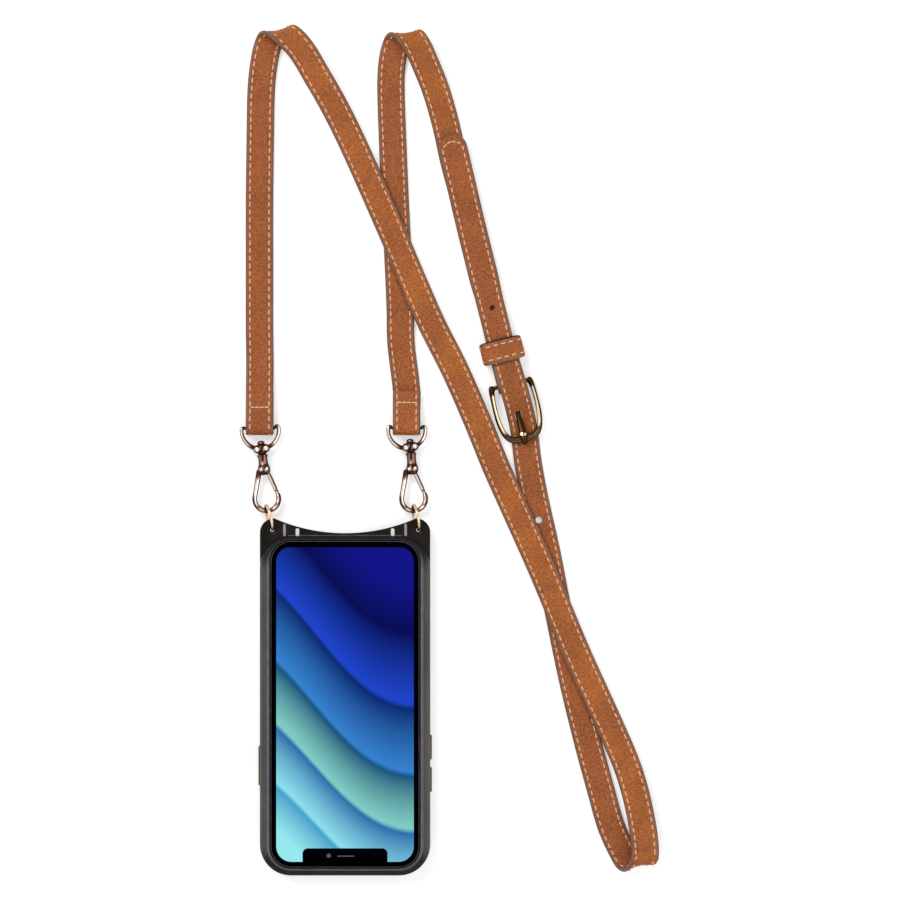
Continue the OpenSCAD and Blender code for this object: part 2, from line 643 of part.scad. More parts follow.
module gate(x) {
    aim = unit(nose_at - gate_at);
    gate_end = nose_at - nose_gap * aim;
    color(bronze) clip(x) difference() {
        union() {
            intersection() {
                rod(uv(gate_at), uv(gate_end), gate_r);
                translate(uv(gate_at)) cylinder(h = 2 * gate_r, r = 3 * hook_r, center = true);
            }
            translate(uv(gate_at)) cylinder(h = gate_eye_t, r = gate_eye_r, center = true);
        }
        translate(uv(gate_at)) cylinder(h = 4 * gate_r, r = gate_pin_r + run_gap, center = true);
    }
}
module gate_pin(x) {
    half = sqrt(pow(collar_r, 2) - pow(gate_at[0] + gate_pin_r, 2));
    color(bronze) clip(x) translate(uv(gate_at))
        cylinder(h = 2 * half, r = gate_pin_r, center = true);
}
// Leaf spring on the slot's inner wall, behind the gate's eye
module gate_spring(x) {
    leaf_t = 0.2;
    color([0.6, 0.6, 0.62]) clip(x) translate(uv([gate_at[0] - gate_eye_r - rest_gap, gate_at[1]]))
        translate([0, -gate_eye_r, -gate_eye_t / 2]) cube([leaf_t, 2 * gate_eye_r, gate_eye_t]);
}
module dring_left() dring(left_hub_x);
module dring_right() dring(right_hub_x);
module swivel_rivet_left() swivel_rivet(left_hub_x);
module swivel_rivet_right() swivel_rivet(right_hub_x);
module hook_left() hook(left_hub_x);
module hook_right() hook(right_hub_x);
module gate_left() gate(left_hub_x);
module gate_right() gate(right_hub_x);
module gate_pin_left() gate_pin(left_hub_x);
module gate_pin_right() gate_pin(right_hub_x);
module gate_spring_left() gate_spring(left_hub_x);
module gate_spring_right() gate_spring(right_hub_x);

// Straps: each is two plies, sewn face to face
module buckle_frame_of() translate([heel_at[0], heel_at[1], 0]) rotate([0, 0, buckle_turn]) children();
module tongue_holes() {
    see_through = sh([0.2295, 0.22], 0);
    spare = sh([0.1735, 0.474], 0);
    for (p = [see_through, spare])
        translate([p[0], p[1], -over]) cylinder(h = fold_z, r = punch_r);
    buckle_frame_of() translate([-slot_w / 2, -slot_to, 0])
        cube([slot_w, slot_to - slot_from, fold_z]);
}
module prong_slot() {
    buckle_frame_of() translate([-slot_w / 2, -1.6 * heel_loop_r, -over])
        cube([slot_w, 3.2 * heel_loop_r, fold_z]);
}
tongue_tip_l = 1.2 * strap_t;
module strap_long_outer() {
    color(leather) difference() {
        ply(long_line, 0, strap_t / 2, 0, tongue_tip_l);
        tongue_holes();
    }
}
module strap_long_lining() {
    color(0.85 * leather) difference() {
        ply(long_line, -strap_t / 2, 0, 1, tongue_tip_l);
        tongue_holes();
    }
}
module strap_short_outer() {
    color(leather) difference() {
        ply(short_line, 0, strap_t / 2, 0);
        prong_slot();
    }
}
module strap_short_lining() {
    color(0.85 * leather) difference() {
        ply(short_line, -strap_t / 2, 0, 1);
        prong_slot();
    }
}

// Buckle. Its plane is local X and Y, with the front bar towards -Y.
module buckle_frame() {
    arc_y = -buckle_l + buckle_corner_r;
    straight = buckle_half - buckle_corner_r;
    color(brass) buckle_frame_of() translate([0, 0, buckle_z]) {
        rod([-buckle_half, 0, 0], [buckle_half, 0, 0], heel_r);
        for (side = [-1, 1]) {
            translate([side * buckle_half, 0, 0]) sphere(side_r);
            rod([side * buckle_half, 0, 0], [side * buckle_half, arc_y, 0], side_r);
            translate([side * straight, arc_y, 0])
                arc_rod(buckle_corner_r, side_r, side < 0 ? 180 : 270, 90);
            translate([side * straight, -buckle_l, 0]) sphere(front_r);
        }
        rod([-straight, -buckle_l, 0], [straight, -buckle_l, 0], front_r);
    }
}
module buckle_prong() {
    eye_r = heel_r + run_gap + 0.7 * prong_t;
    tip = buckle_l + front_r;
    climb = atan2(prong_rise, buckle_l);
    color(brass) buckle_frame_of() translate([0, 0, buckle_z]) difference() {
        union() {
            rotate([0, 90, 0]) cylinder(h = prong_w, r = eye_r, center = true);
            rotate([-climb, 0, 0]) translate([-prong_w / 2, -tip, -prong_t / 2])
                cube([prong_w, tip, prong_t]);
        }
        rotate([0, 90, 0]) cylinder(h = 2 * prong_w, r = heel_r + run_gap, center = true);
    }
}
module keeper() {
    inner_w = strap_w + 2 * keeper_gap;
    inner_h = 2 * strap_t + 3 * rest_gap;
    corner = 0.9 * keeper_t;
    color(leather) buckle_frame_of() translate([0, keeper_at + keeper_l / 2, keeper_t + inner_h / 2])
        rotate([90, 0, 0]) linear_extrude(keeper_l) difference() {
            rounded(inner_w + 2 * keeper_t, inner_h + 2 * keeper_t, 2 * corner);
            rounded(inner_w, inner_h, corner);
        }
}

case_shell();
power_pad();
volume_up_pad();
volume_down_pad();
phone_frame();
phone_back();
phone_glass();
phone_display();
phone_camera();
phone_power_key();
phone_volume_keys();
ring_left();
ring_right();
dring_left();
dring_right();
swivel_rivet_left();
swivel_rivet_right();
hook_left();
hook_right();
gate_left();
gate_right();
gate_pin_left();
gate_pin_right();
gate_spring_left();
gate_spring_right();
strap_long_outer();
strap_long_lining();
strap_short_outer();
strap_short_lining();
buckle_frame();
buckle_prong();
keeper();
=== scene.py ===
from math import asin, atan2, ceil, cos, degrees, hypot, pi, radians, sin

import bmesh
import bpy
from bpy.props import FloatProperty, FloatVectorProperty, PointerProperty
from mathutils import Matrix, Vector


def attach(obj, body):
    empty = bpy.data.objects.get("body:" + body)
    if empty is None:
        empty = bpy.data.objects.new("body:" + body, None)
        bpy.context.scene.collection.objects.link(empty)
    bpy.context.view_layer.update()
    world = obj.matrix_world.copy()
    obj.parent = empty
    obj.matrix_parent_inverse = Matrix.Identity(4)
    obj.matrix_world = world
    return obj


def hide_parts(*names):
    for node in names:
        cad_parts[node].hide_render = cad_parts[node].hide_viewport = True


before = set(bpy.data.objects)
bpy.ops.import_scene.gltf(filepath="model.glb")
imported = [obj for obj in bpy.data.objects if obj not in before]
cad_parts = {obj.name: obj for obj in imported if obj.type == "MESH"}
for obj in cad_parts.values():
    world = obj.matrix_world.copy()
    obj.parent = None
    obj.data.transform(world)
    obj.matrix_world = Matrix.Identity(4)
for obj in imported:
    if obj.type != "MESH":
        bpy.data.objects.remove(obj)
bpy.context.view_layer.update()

bl_info = {
    "name": "Phone pouch with leather strap",
    "version": (1, 0, 0),
    "blender": (4, 5, 0),
    "location": "View3D > Sidebar > Pouch",
    "description": "Builds a phone case that hangs from a stitched leather strap",
    "category": "Add Mesh",
}

MM = 0.001


def length(name, description, millimetres):
    return FloatProperty(name=name, description=description, default=millimetres * MM,
                         min=0.0, unit="LENGTH", subtype="DISTANCE", precision=5)


def colour(name, description, r, g, b):
    """A colour given as it shows on a screen, 0 to 255, and kept as light."""
    def light(c):
        c = c / 255
        return c / 12.92 if c <= 0.04045 else ((c + 0.055) / 1.055) ** 2.4
    return FloatVectorProperty(name=name, description=description, size=4, min=0.0, max=1.0,
                               subtype="COLOR", default=(light(r), light(g), light(b), 1.0))


class PouchSizes(bpy.types.PropertyGroup):
    strap_w: length("Strap width", "Width of the leather strap", 12.7)
    strap_t: length("Strap thickness", "Thickness of both plies together", 2.2)
    seam_inset: length("Seam inset", "From the strap's edge to the stitches", 1.95)
    stitch_l: length("Stitch length", "Length of one stitch", 2.5)
    stitch_pitch: length("Stitch pitch", "From one stitch to the next", 3.55)
    thread_w: length("Thread width", "Width of the thread", 0.72)
    paint_w: length("Painted edge", "Width of the painted edge seen from the front", 0.85)
    step: length("Strap step", "Distance between the strap's rows of faces", 1.5)


class PouchColours(bpy.types.PropertyGroup):
    leather: colour("Leather", "Smooth outer leather", 168, 89, 38)
    leather_deep: colour("Leather creases", "Creases of the outer leather", 118, 58, 24)
    lining: colour("Lining", "Inner side of the strap", 156, 83, 40)
    lining_deep: colour("Lining grain", "Grain of the inner side", 104, 54, 25)
    paint: colour("Edge paint", "Painted edges of the leather", 112, 76, 56)
    thread: colour("Thread", "Sewing thread", 240, 192, 156)
    # The three bronze colours: painted highlights on the clips, a painted copper highlight, and dark metal
    # also used as painted shade
    bronze: colour("Bronze", "Painted highlights on the clips' fronts", 212, 202, 192)
    bronze_copper_highlight: colour("Warm bronze", "Painted copper highlight on the clips' necks", 146, 108, 90)
    bronze_dark_and_shade: colour("Bronze dark and shade", "Dark metal of the clips, also their painted shade", 44, 27, 22)
    # Buckle colours: pale gold for painted highlights, dark olive metal also used as painted shade
    brass: colour("Brass", "Painted highlights on the buckle", 230, 210, 170)
    brass_dark_and_shade: colour("Brass dark and shade", "Dark olive metal of the buckle, also its painted shade", 50, 31, 12)
    gold: colour("Gold", "Jump rings", 226, 190, 160)
    case: colour("Case", "Soft black case", 24, 22, 23)
    # The case's edge and lip colours: a painted grey sheen on its sides and a painted highlight along its
    # inner lip
    case_edge_sheen: colour("Case edge", "Grey sheen along the case's sides", 98, 92, 89)
    case_lip_highlight: colour("Case lip", "Painted highlight along the case's inner lip", 104, 102, 107)


def sizes():
    return bpy.context.scene.pouch_sizes


def colours():
    return bpy.context.scene.pouch_colours


# Sizes of the frame that the pieces share with it, in metres
CASE_W, CASE_H, CASE_R = 78.2 * MM, 155.3 * MM, 14.3 * MM
LAY_L = 388 * MM
HEEL = (76.048 * MM, 147.828 * MM)
BUCKLE_TURN = radians(14.1)
BUCKLE_L = 25.8 * MM
BUCKLE_Z = 4.0 * MM
BAR_Y = 127.576 * MM
HUB_Y = 116.526 * MM
CLIP_Z = 4.1 * MM
CLIP_LEAN = radians(8)
LEFT_HUB_X, RIGHT_HUB_X = -39.3923 * MM, 28.1971 * MM
TAIL_L = 17 * MM
LAY_Z, OVER_Z, FOLD_Z, TAIL_Z = 1.1 * MM, 3.7 * MM, 9.3 * MM, 3.5 * MM
LEG_LOW, LEG_HIGH = 1.95 * MM, 6.25 * MM
HEEL_LOOP_R = 2.25 * MM
STACK_Z = 2.5 * MM
KEEPER_STRAP_Z = 2.8 * MM
KEEPER_AT, KEEPER_L, KEEPER_TRAVEL = 16 * MM, 10.6 * MM, 12 * MM

# Holes in the long strap, as shares of the lay's length, with their radii, and a cutter's depth
LOW_HOLE, LOW_HOLE_R = (0.2295, 0.22), 1.5 * MM
SPARE_HOLE, SPARE_HOLE_R = (0.174, 0.4714), 1.25 * MM
THROUGH = 24 * MM

# Openings round the prong and the heel bar: size, and distance from the heel bar
PRONG_SLOT, PRONG_SLOT_AT = (3.0 * MM, 4.7 * MM, THROUGH), 15.25 * MM
UNDER_PRONG, UNDER_PRONG_AT, UNDER_PRONG_TOP = (3.0 * MM, 4.2 * MM, 12 * MM), 11.6 * MM, 5.6 * MM
HEEL_SLOT = (2.6 * MM, 3.2 * HEEL_LOOP_R, THROUGH)

# The long strap's tongue: where it grows wider, by what share, and how its tip is rounded
TONGUE_FROM, TONGUE_FULL, TONGUE_MORE = 78 * MM, 66 * MM, 0.07
TIP_TAPER, TIP_BOW, TIP_BACK = 0.36, 1.5 * MM, 0.6 * MM

# Side pads and switch window: the side, how far below the case's middle, the length, in millimetres
PADS = {"power": (-1, 27.3, 18.4), "volume_up": (1, 18.9, 11.4), "volume_down": (1, 33.8, 11.4)}
SWITCH_WINDOW = (1, 46.465, 5.1)
PAD_Z = 5.7 * MM

# Openings in the tray: size and middle
CAMERA_WINDOW = (31 * MM, 31 * MM, 6 * MM), (-15.35 * MM, -55.1 * MM, 0)
CHARGING_SLOT = (14.1 * MM, 8 * MM, 3.04 * MM), (0, 77.65 * MM, 4.38 * MM)

# The photograph's frame: its width, its middle on the table and the camera's height over the straps
FRAME_W, FRAME_X, FRAME_Y = 0.414, 0.04816, 0.11762
CAMERA_REACH, STRAPS_Z, SENSOR_W = 2.0, 0.004, 36.0
MIDDLE, FLOOR_Z = Vector((0.05, 0.12, 0.0)), -0.0003

# Each lamp's name, place, size and power; all of them look at the middle
LAMPS = (("key", (-0.55, 0.75, 1.1), (0.8, 0.6), 10.0),
         ("fill", (0.75, -0.1, 1.2), (0.9, 0.9), 6.0),
         ("front", (0.0, -0.9, 0.9), (1.2, 0.5), 3.4))


# Making pieces

def mesh_object(name, bm, finishes):
    """Turns a bmesh into an object of the scene, with its finishes."""
    mesh = bpy.data.meshes.new(name)
    bm.to_mesh(mesh)
    bm.free()
    for item in finishes:
        mesh.materials.append(item)
    shape = bpy.data.objects.new(name, mesh)
    bpy.context.scene.collection.objects.link(shape)
    return shape


def add_piece(name, bm, body, finishes, replaced=(), sharp=35):
    """Turns a bmesh into a named piece that rides on a body of the frame. Edges over the angle
    sharp, in degrees, stay sharp; 0 leaves every edge smooth."""
    piece = mesh_object(name, bm, finishes)
    piece.data.shade_smooth()
    if sharp:
        piece.data.set_sharp_from_angle(angle=radians(sharp))
    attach(piece, body)
    if replaced:
        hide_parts(*replaced)
    return piece


def lay_grid(rows, columns, place, mapped=None, round_rows=False, round_columns=False, finish_of=None):
    """A flat grid laid over a surface: place(i, k) gives the point of row i and column k.
    mapped(i, k) gives its place on the piece's own map, in metres."""
    bm = bmesh.new()
    layer = bm.loops.layers.uv.new("UVMap")
    bmesh.ops.create_grid(bm, x_segments=rows, y_segments=columns, size=1.0)
    if len(bm.verts) != (rows + 1) * (columns + 1):
        raise RuntimeError("the grid has another number of points than was asked for")
    spot = {v: (round((v.co.x + 1) / 2 * rows), round((v.co.y + 1) / 2 * columns)) for v in bm.verts}
    if mapped:
        for face in bm.faces:
            for loop in face.loops:
                loop[layer].uv = mapped(*spot[loop.vert])
    if finish_of:
        for face in bm.faces:
            face.material_index = finish_of(min(spot[v][0] for v in face.verts),
                                            min(spot[v][1] for v in face.verts))
    for v in bm.verts:
        v.co = place(*spot[v])
    if round_rows or round_columns:
        bmesh.ops.remove_doubles(bm, verts=bm.verts, dist=2e-6)
    return bm


def close_ends(bm):
    """Fills the open ends of a tube and turns every face outwards."""
    edge = [e for e in bm.edges if e.is_boundary]
    if edge:
        bmesh.ops.holes_fill(bm, edges=edge, sides=0)
    bmesh.ops.recalc_face_normals(bm, faces=bm.faces)
    return bm


def cut(piece, cutters):
    """Cuts other meshes out of a piece for good. The walls of each cut keep the cutter's finish."""
    for cutter in cutters:
        modifier = piece.modifiers.new("cut", "BOOLEAN")
        modifier.operation = "DIFFERENCE"
        modifier.solver = "EXACT"
        modifier.material_mode = "TRANSFER"
        modifier.object = cutter
    bpy.context.view_layer.update()
    depsgraph = bpy.context.evaluated_depsgraph_get()
    finished = bpy.data.meshes.new_from_object(piece.evaluated_get(depsgraph), depsgraph=depsgraph)
    piece.modifiers.clear()
    finished.name = piece.name
    piece.data = finished
    for cutter in cutters:
        bpy.data.objects.remove(cutter)


def tint(piece, level):
    """Keeps a share of painted light at each point of a piece, painted shade at 0 and painted highlight at
    1, which its finish reads.
    """
    layer = piece.data.attributes.new("painted_light", "FLOAT", "POINT")
    for v, item in zip(piece.data.vertices, layer.data):
        item.value = min(max(level(v.co, v.normal), 0.0), 1.0)


def step_up(low, high, x):
    """0 below low, 1 above high and smooth between; high may be the lower one."""
    t = min(max((x - low) / (high - low), 0.0), 1.0)
    return t * t * (3 - 2 * t)


def cutter_from(bm, wall_finish):
    """A shape to be cut out of a piece, with the finish that the cut's walls get."""
    bmesh.ops.recalc_face_normals(bm, faces=bm.faces)
    return mesh_object("cutter", bm, [wall_finish])


# The way the straps lie

def heading(angle):
    """A level way, by its angle from the X axis in degrees."""
    return Vector((cos(radians(angle)), sin(radians(angle)), 0))


# Across the buckle's strap, and along it towards the heel
ACROSS = Vector((cos(BUCKLE_TURN), sin(BUCKLE_TURN), 0))
TOWARDS_HEEL = Vector((-sin(BUCKLE_TURN), cos(BUCKLE_TURN), 0))


def sh(x, y, z):
    """A point of the lay: shares of its length, and a height."""
    return Vector((x * LAY_L, y * LAY_L, z))


def bk(s, z, across=0.0):
    """A point of the buckle: along it from its heel bar, a height, and across it."""
    return Vector((HEEL[0] + s * sin(BUCKLE_TURN) + across * cos(BUCKLE_TURN),
                   HEEL[1] - s * cos(BUCKLE_TURN) + across * sin(BUCKLE_TURN), z))


def at_bar(x, along, z):
    return Vector((x, BAR_Y + along, z))


def slope(p, i, h0, h1):
    """The way of a smooth line at point i; h0 and h1 are its ways at both ends."""
    if i == 0:
        return h0
    if i == len(p) - 1:
        return h1
    return (p[i + 1] - p[i - 1]) / ((p[i] - p[i - 1]).length + (p[i + 1] - p[i]).length)


def run(p, h0, h1, face, last=False):
    """A smooth run of the strap through points, as (point, normal of the outer face)."""
    line = []
    for i in range(len(p) - 1):
        a, b = p[i], p[i + 1]
        d = (b - a).length
        ta, tb = slope(p, i, h0, h1) * d, slope(p, i + 1, h0, h1) * d
        n = max(2, ceil(d / (1.2 * MM)))
        for k in range(n + 1 if last and i == len(p) - 2 else n):
            t = k / n
            point = ((2 * t**3 - 3 * t**2 + 1) * a + (t**3 - 2 * t**2 + t) * ta
                     + (3 * t**2 - 2 * t**3) * b + (t**3 - t**2) * tb)
            way = (6 * (t**2 - t) * a + (3 * t**2 - 4 * t + 1) * ta
                   + 6 * (t - t**2) * b + (3 * t**2 - 2 * t) * tb).normalized()
            normal = Vector((0, 0, 1)) - way.z * way
            line.append((point, face * normal.normalized()))
    return line


def turn(p0, p1, h0, h1, face, n=28):
    """A half turn of the strap over an unseen round form."""
    e = (h0 - h1).normalized()
    c = Vector((e.y, -e.x, 0))
    rz = (p1.z - p0.z) / 2
    re = abs(rz)
    shift = Vector((p1.x - p0.x, p1.y - p0.y, 0))
    k = shift.dot(e) / pi
    m0 = pi * re * h0.dot(c) / h0.dot(e)
    m1 = -pi * re * h1.dot(c) / h1.dot(e)
    sign = -1 if rz < 0 else 1
    line = []
    for i in range(n):
        t = i / n
        a = pi * t
        along = ((3 * t**2 - 2 * t**3) * shift.dot(c)
                 + (t**3 - 2 * t**2 + t) * m0 + (t**3 - t**2) * m1)
        point = p0 + (re * sin(a) + k * pi * t) * e + along * c + Vector((0, 0, rz * (1 - cos(a))))
        normal = abs(rz) * sin(a) * e - Vector((0, 0, sign * (re * cos(a) + k)))
        line.append((point, face * normal.normalized()))
    return line


def long_line():
    """The long strap: from its tail behind the left D-ring, up, over the top fold, down the slant,
    round the low fold, up through the buckle and the keeper to the tongue's tip."""
    t = sizes().strap_t
    up, down = Vector((0, 1, 0)), Vector((0, -1, 0))
    x = LEFT_HUB_X
    limb = [(-0.102, 0.45), (-0.102, 0.52), (-0.102, 0.6), (-0.101, 0.683), (-0.1, 0.73), (-0.097, 0.76)]
    slant = [(0.047, 0.581), (0.1, 0.458), (0.13, 0.398), (0.156, 0.339), (0.178, 0.285),
             (0.199, 0.238), (0.233, 0.162), (0.274, 0.064), (0.317, -0.031)]
    low = [(0.316, -0.145), (0.303, -0.1), (0.287, -0.041), (0.27, 0.029),
           (0.25, 0.125), (0.238, 0.186), (0.225, 0.244)]
    low_end = bk(1.42 * BUCKLE_L, LAY_Z) - Vector((0.075 * sizes().strap_w, 0, 0))
    top0, top1 = sh(-0.091, 0.786, LAY_Z), sh(-0.063, 0.789, FOLD_Z)
    low0, low1 = sh(0.355, -0.175, FOLD_Z), sh(0.332, -0.179, LAY_Z)
    ka, kz, b = KEEPER_AT, KEEPER_STRAP_Z + STACK_Z, BUCKLE_L
    aside = 1.1 * MM
    heel_z = BUCKLE_Z + HEEL_LOOP_R
    return (
        run([at_bar(x, TAIL_L, LAY_Z), at_bar(x, TAIL_L / 2, (LAY_Z + LEG_LOW) / 2),
             at_bar(x, 0, LEG_LOW)], down, down, 1)
        + turn(at_bar(x, 0, LEG_LOW), at_bar(x, 0, LEG_HIGH), down, up, -1)
        + run([at_bar(x, 0, LEG_HIGH), at_bar(x, TAIL_L / 2, (TAIL_Z + LEG_HIGH) / 2),
               at_bar(x, TAIL_L, TAIL_Z), at_bar(x, 1.2 * TAIL_L, TAIL_Z - 0.2 * t),
               at_bar(x, 1.8 * TAIL_L, LAY_Z)] + [sh(*p, LAY_Z) for p in limb] + [top0],
              up, heading(68), -1)
        + turn(top0, top1, heading(68), heading(-42), 1)
        + run([top1, sh(-0.031, 0.742, 0.55 * FOLD_Z + 0.45 * OVER_Z),
               sh(0, 0.685, 0.15 * FOLD_Z + 0.85 * OVER_Z)] + [sh(*p, OVER_Z) for p in slant]
              + [sh(0.336, -0.077, 0.85 * OVER_Z + 0.15 * FOLD_Z),
                 sh(0.349, -0.126, 0.4 * OVER_Z + 0.6 * FOLD_Z), low0],
              heading(-42), heading(-90), 1)
        + turn(low0, low1, heading(-90), heading(117), 1)
        + run([low1] + [sh(*p, LAY_Z) for p in low]
              + [low_end, bk(b, LAY_Z, 0.4 * aside), bk(0.8 * b, LAY_Z + 0.05 * t, 0.9 * aside),
                 bk(0.66 * b, LAY_Z + 0.4 * t, aside), bk(0.5 * b, BUCKLE_Z + 0.1 * t, aside),
                 bk(0.35 * b, BUCKLE_Z + 1.35 * t, aside),
                 bk(0.2 * b, heel_z + STACK_Z - 0.15 * t, 0.9 * aside),
                 bk(0, heel_z + STACK_Z, 0.75 * aside),
                 bk(-0.27 * ka, (heel_z + KEEPER_STRAP_Z) / 2 + STACK_Z + 0.2 * t, 0.6 * aside),
                 bk(-0.7 * ka, kz, 0.35 * aside), bk(-ka, kz), bk(-ka - KEEPER_TRAVEL, kz),
                 bk(-ka - KEEPER_TRAVEL - 2 * KEEPER_L, LAY_Z + STACK_Z),
                 sh(0.1473, 0.576, LAY_Z + STACK_Z), sh(0.124, 0.674, LAY_Z + STACK_Z)],
              heading(117), TOWARDS_HEEL, -1, True)
    )


def short_line():
    """The short strap: from its tail on the right D-ring, up, over the top fold and down to the
    buckle's heel bar, round it and back."""
    t = sizes().strap_t
    up, down = Vector((0, 1, 0)), Vector((0, -1, 0))
    x = RIGHT_HUB_X
    limb = [(0.066, 0.43), (0.065, 0.472), (0.062, 0.54), (0.059, 0.6), (0.056, 0.671),
            (0.054, 0.736), (0.0555, 0.763)]
    next0, next1 = sh(0.06, 0.783, LAY_Z), sh(0.083, 0.785, FOLD_Z)
    ka, kz = KEEPER_AT, KEEPER_STRAP_Z
    heel_z = BUCKLE_Z + HEEL_LOOP_R
    tail = 0.27 * BUCKLE_L
    return (
        run([at_bar(x, TAIL_L, TAIL_Z), at_bar(x, TAIL_L / 2, (TAIL_Z + LEG_HIGH) / 2),
             at_bar(x, 0, LEG_HIGH)], down, down, 1)
        + turn(at_bar(x, 0, LEG_HIGH), at_bar(x, 0, LEG_LOW), down, up, 1)
        + run([at_bar(x, 0, LEG_LOW), at_bar(x, TAIL_L / 2, (LAY_Z + LEG_LOW) / 2),
               at_bar(x, TAIL_L, LAY_Z)] + [sh(*p, LAY_Z) for p in limb] + [next0],
              up, heading(70), -1)
        + turn(next0, next1, heading(70), heading(-58), 1)
        + run([next1, sh(0.097, 0.756, 0.55 * FOLD_Z + 0.45 * LAY_Z),
               sh(0.108, 0.728, 0.2 * FOLD_Z + 0.8 * LAY_Z), sh(0.119, 0.69, LAY_Z),
               sh(0.13, 0.641, LAY_Z), sh(0.148, 0.576, LAY_Z),
               bk(-ka - KEEPER_TRAVEL - 2 * KEEPER_L, LAY_Z), bk(-ka - KEEPER_TRAVEL, kz),
               bk(-ka, kz), bk(-0.7 * ka, kz), bk(-0.27 * ka, (heel_z + kz) / 2 + 0.2 * t),
               bk(0, heel_z)], heading(-58), -TOWARDS_HEEL, 1)
        + turn(bk(0, heel_z), bk(0, BUCKLE_Z - HEEL_LOOP_R), -TOWARDS_HEEL, TOWARDS_HEEL, 1)
        + run([bk(0, BUCKLE_Z - HEEL_LOOP_R), bk(-tail / 2, LAY_Z + 0.15 * t),
               bk(-tail, LAY_Z + 0.05 * t)], TOWARDS_HEEL, TOWARDS_HEEL, -1, True)
    )


class Lay:
    """A strap's middle line, read by the distance along it."""

    def __init__(self, line):
        self.points = [p for p, _ in line]
        self.normals = [n for _, n in line]
        self.runs = [0.0]
        for a, b in zip(self.points, self.points[1:]):
            self.runs.append(self.runs[-1] + (b - a).length)
        self.total = self.runs[-1]
        self.ways = []
        last = len(line) - 1
        for i in range(len(line)):
            self.ways.append((self.points[min(i + 1, last)] - self.points[max(i - 1, 0)]).normalized())
        self.last_hit = 0

    def at(self, s):
        """Point, way, side and outer normal at that distance along the line."""
        s = min(max(s, 0.0), self.total)
        i = self.last_hit if self.runs[self.last_hit] <= s else 0
        while i < len(self.runs) - 2 and self.runs[i + 1] < s:
            i += 1
        self.last_hit = i
        share = (s - self.runs[i]) / (self.runs[i + 1] - self.runs[i])
        point = self.points[i].lerp(self.points[i + 1], share)
        way = self.ways[i].lerp(self.ways[i + 1], share).normalized()
        normal = self.normals[i].lerp(self.normals[i + 1], share).normalized()
        side = normal.cross(way).normalized()
        return point, way, side, way.cross(side)

    def near(self, place, start=0.0, end=1.0):
        """Distance along the line of its point nearest to a place, between two shares."""
        best = min((i for i in range(len(self.points)) if start <= self.runs[i] / self.total <= end),
                   key=lambda i: (self.points[i] - place).length)
        return self.runs[best]


# Finishes

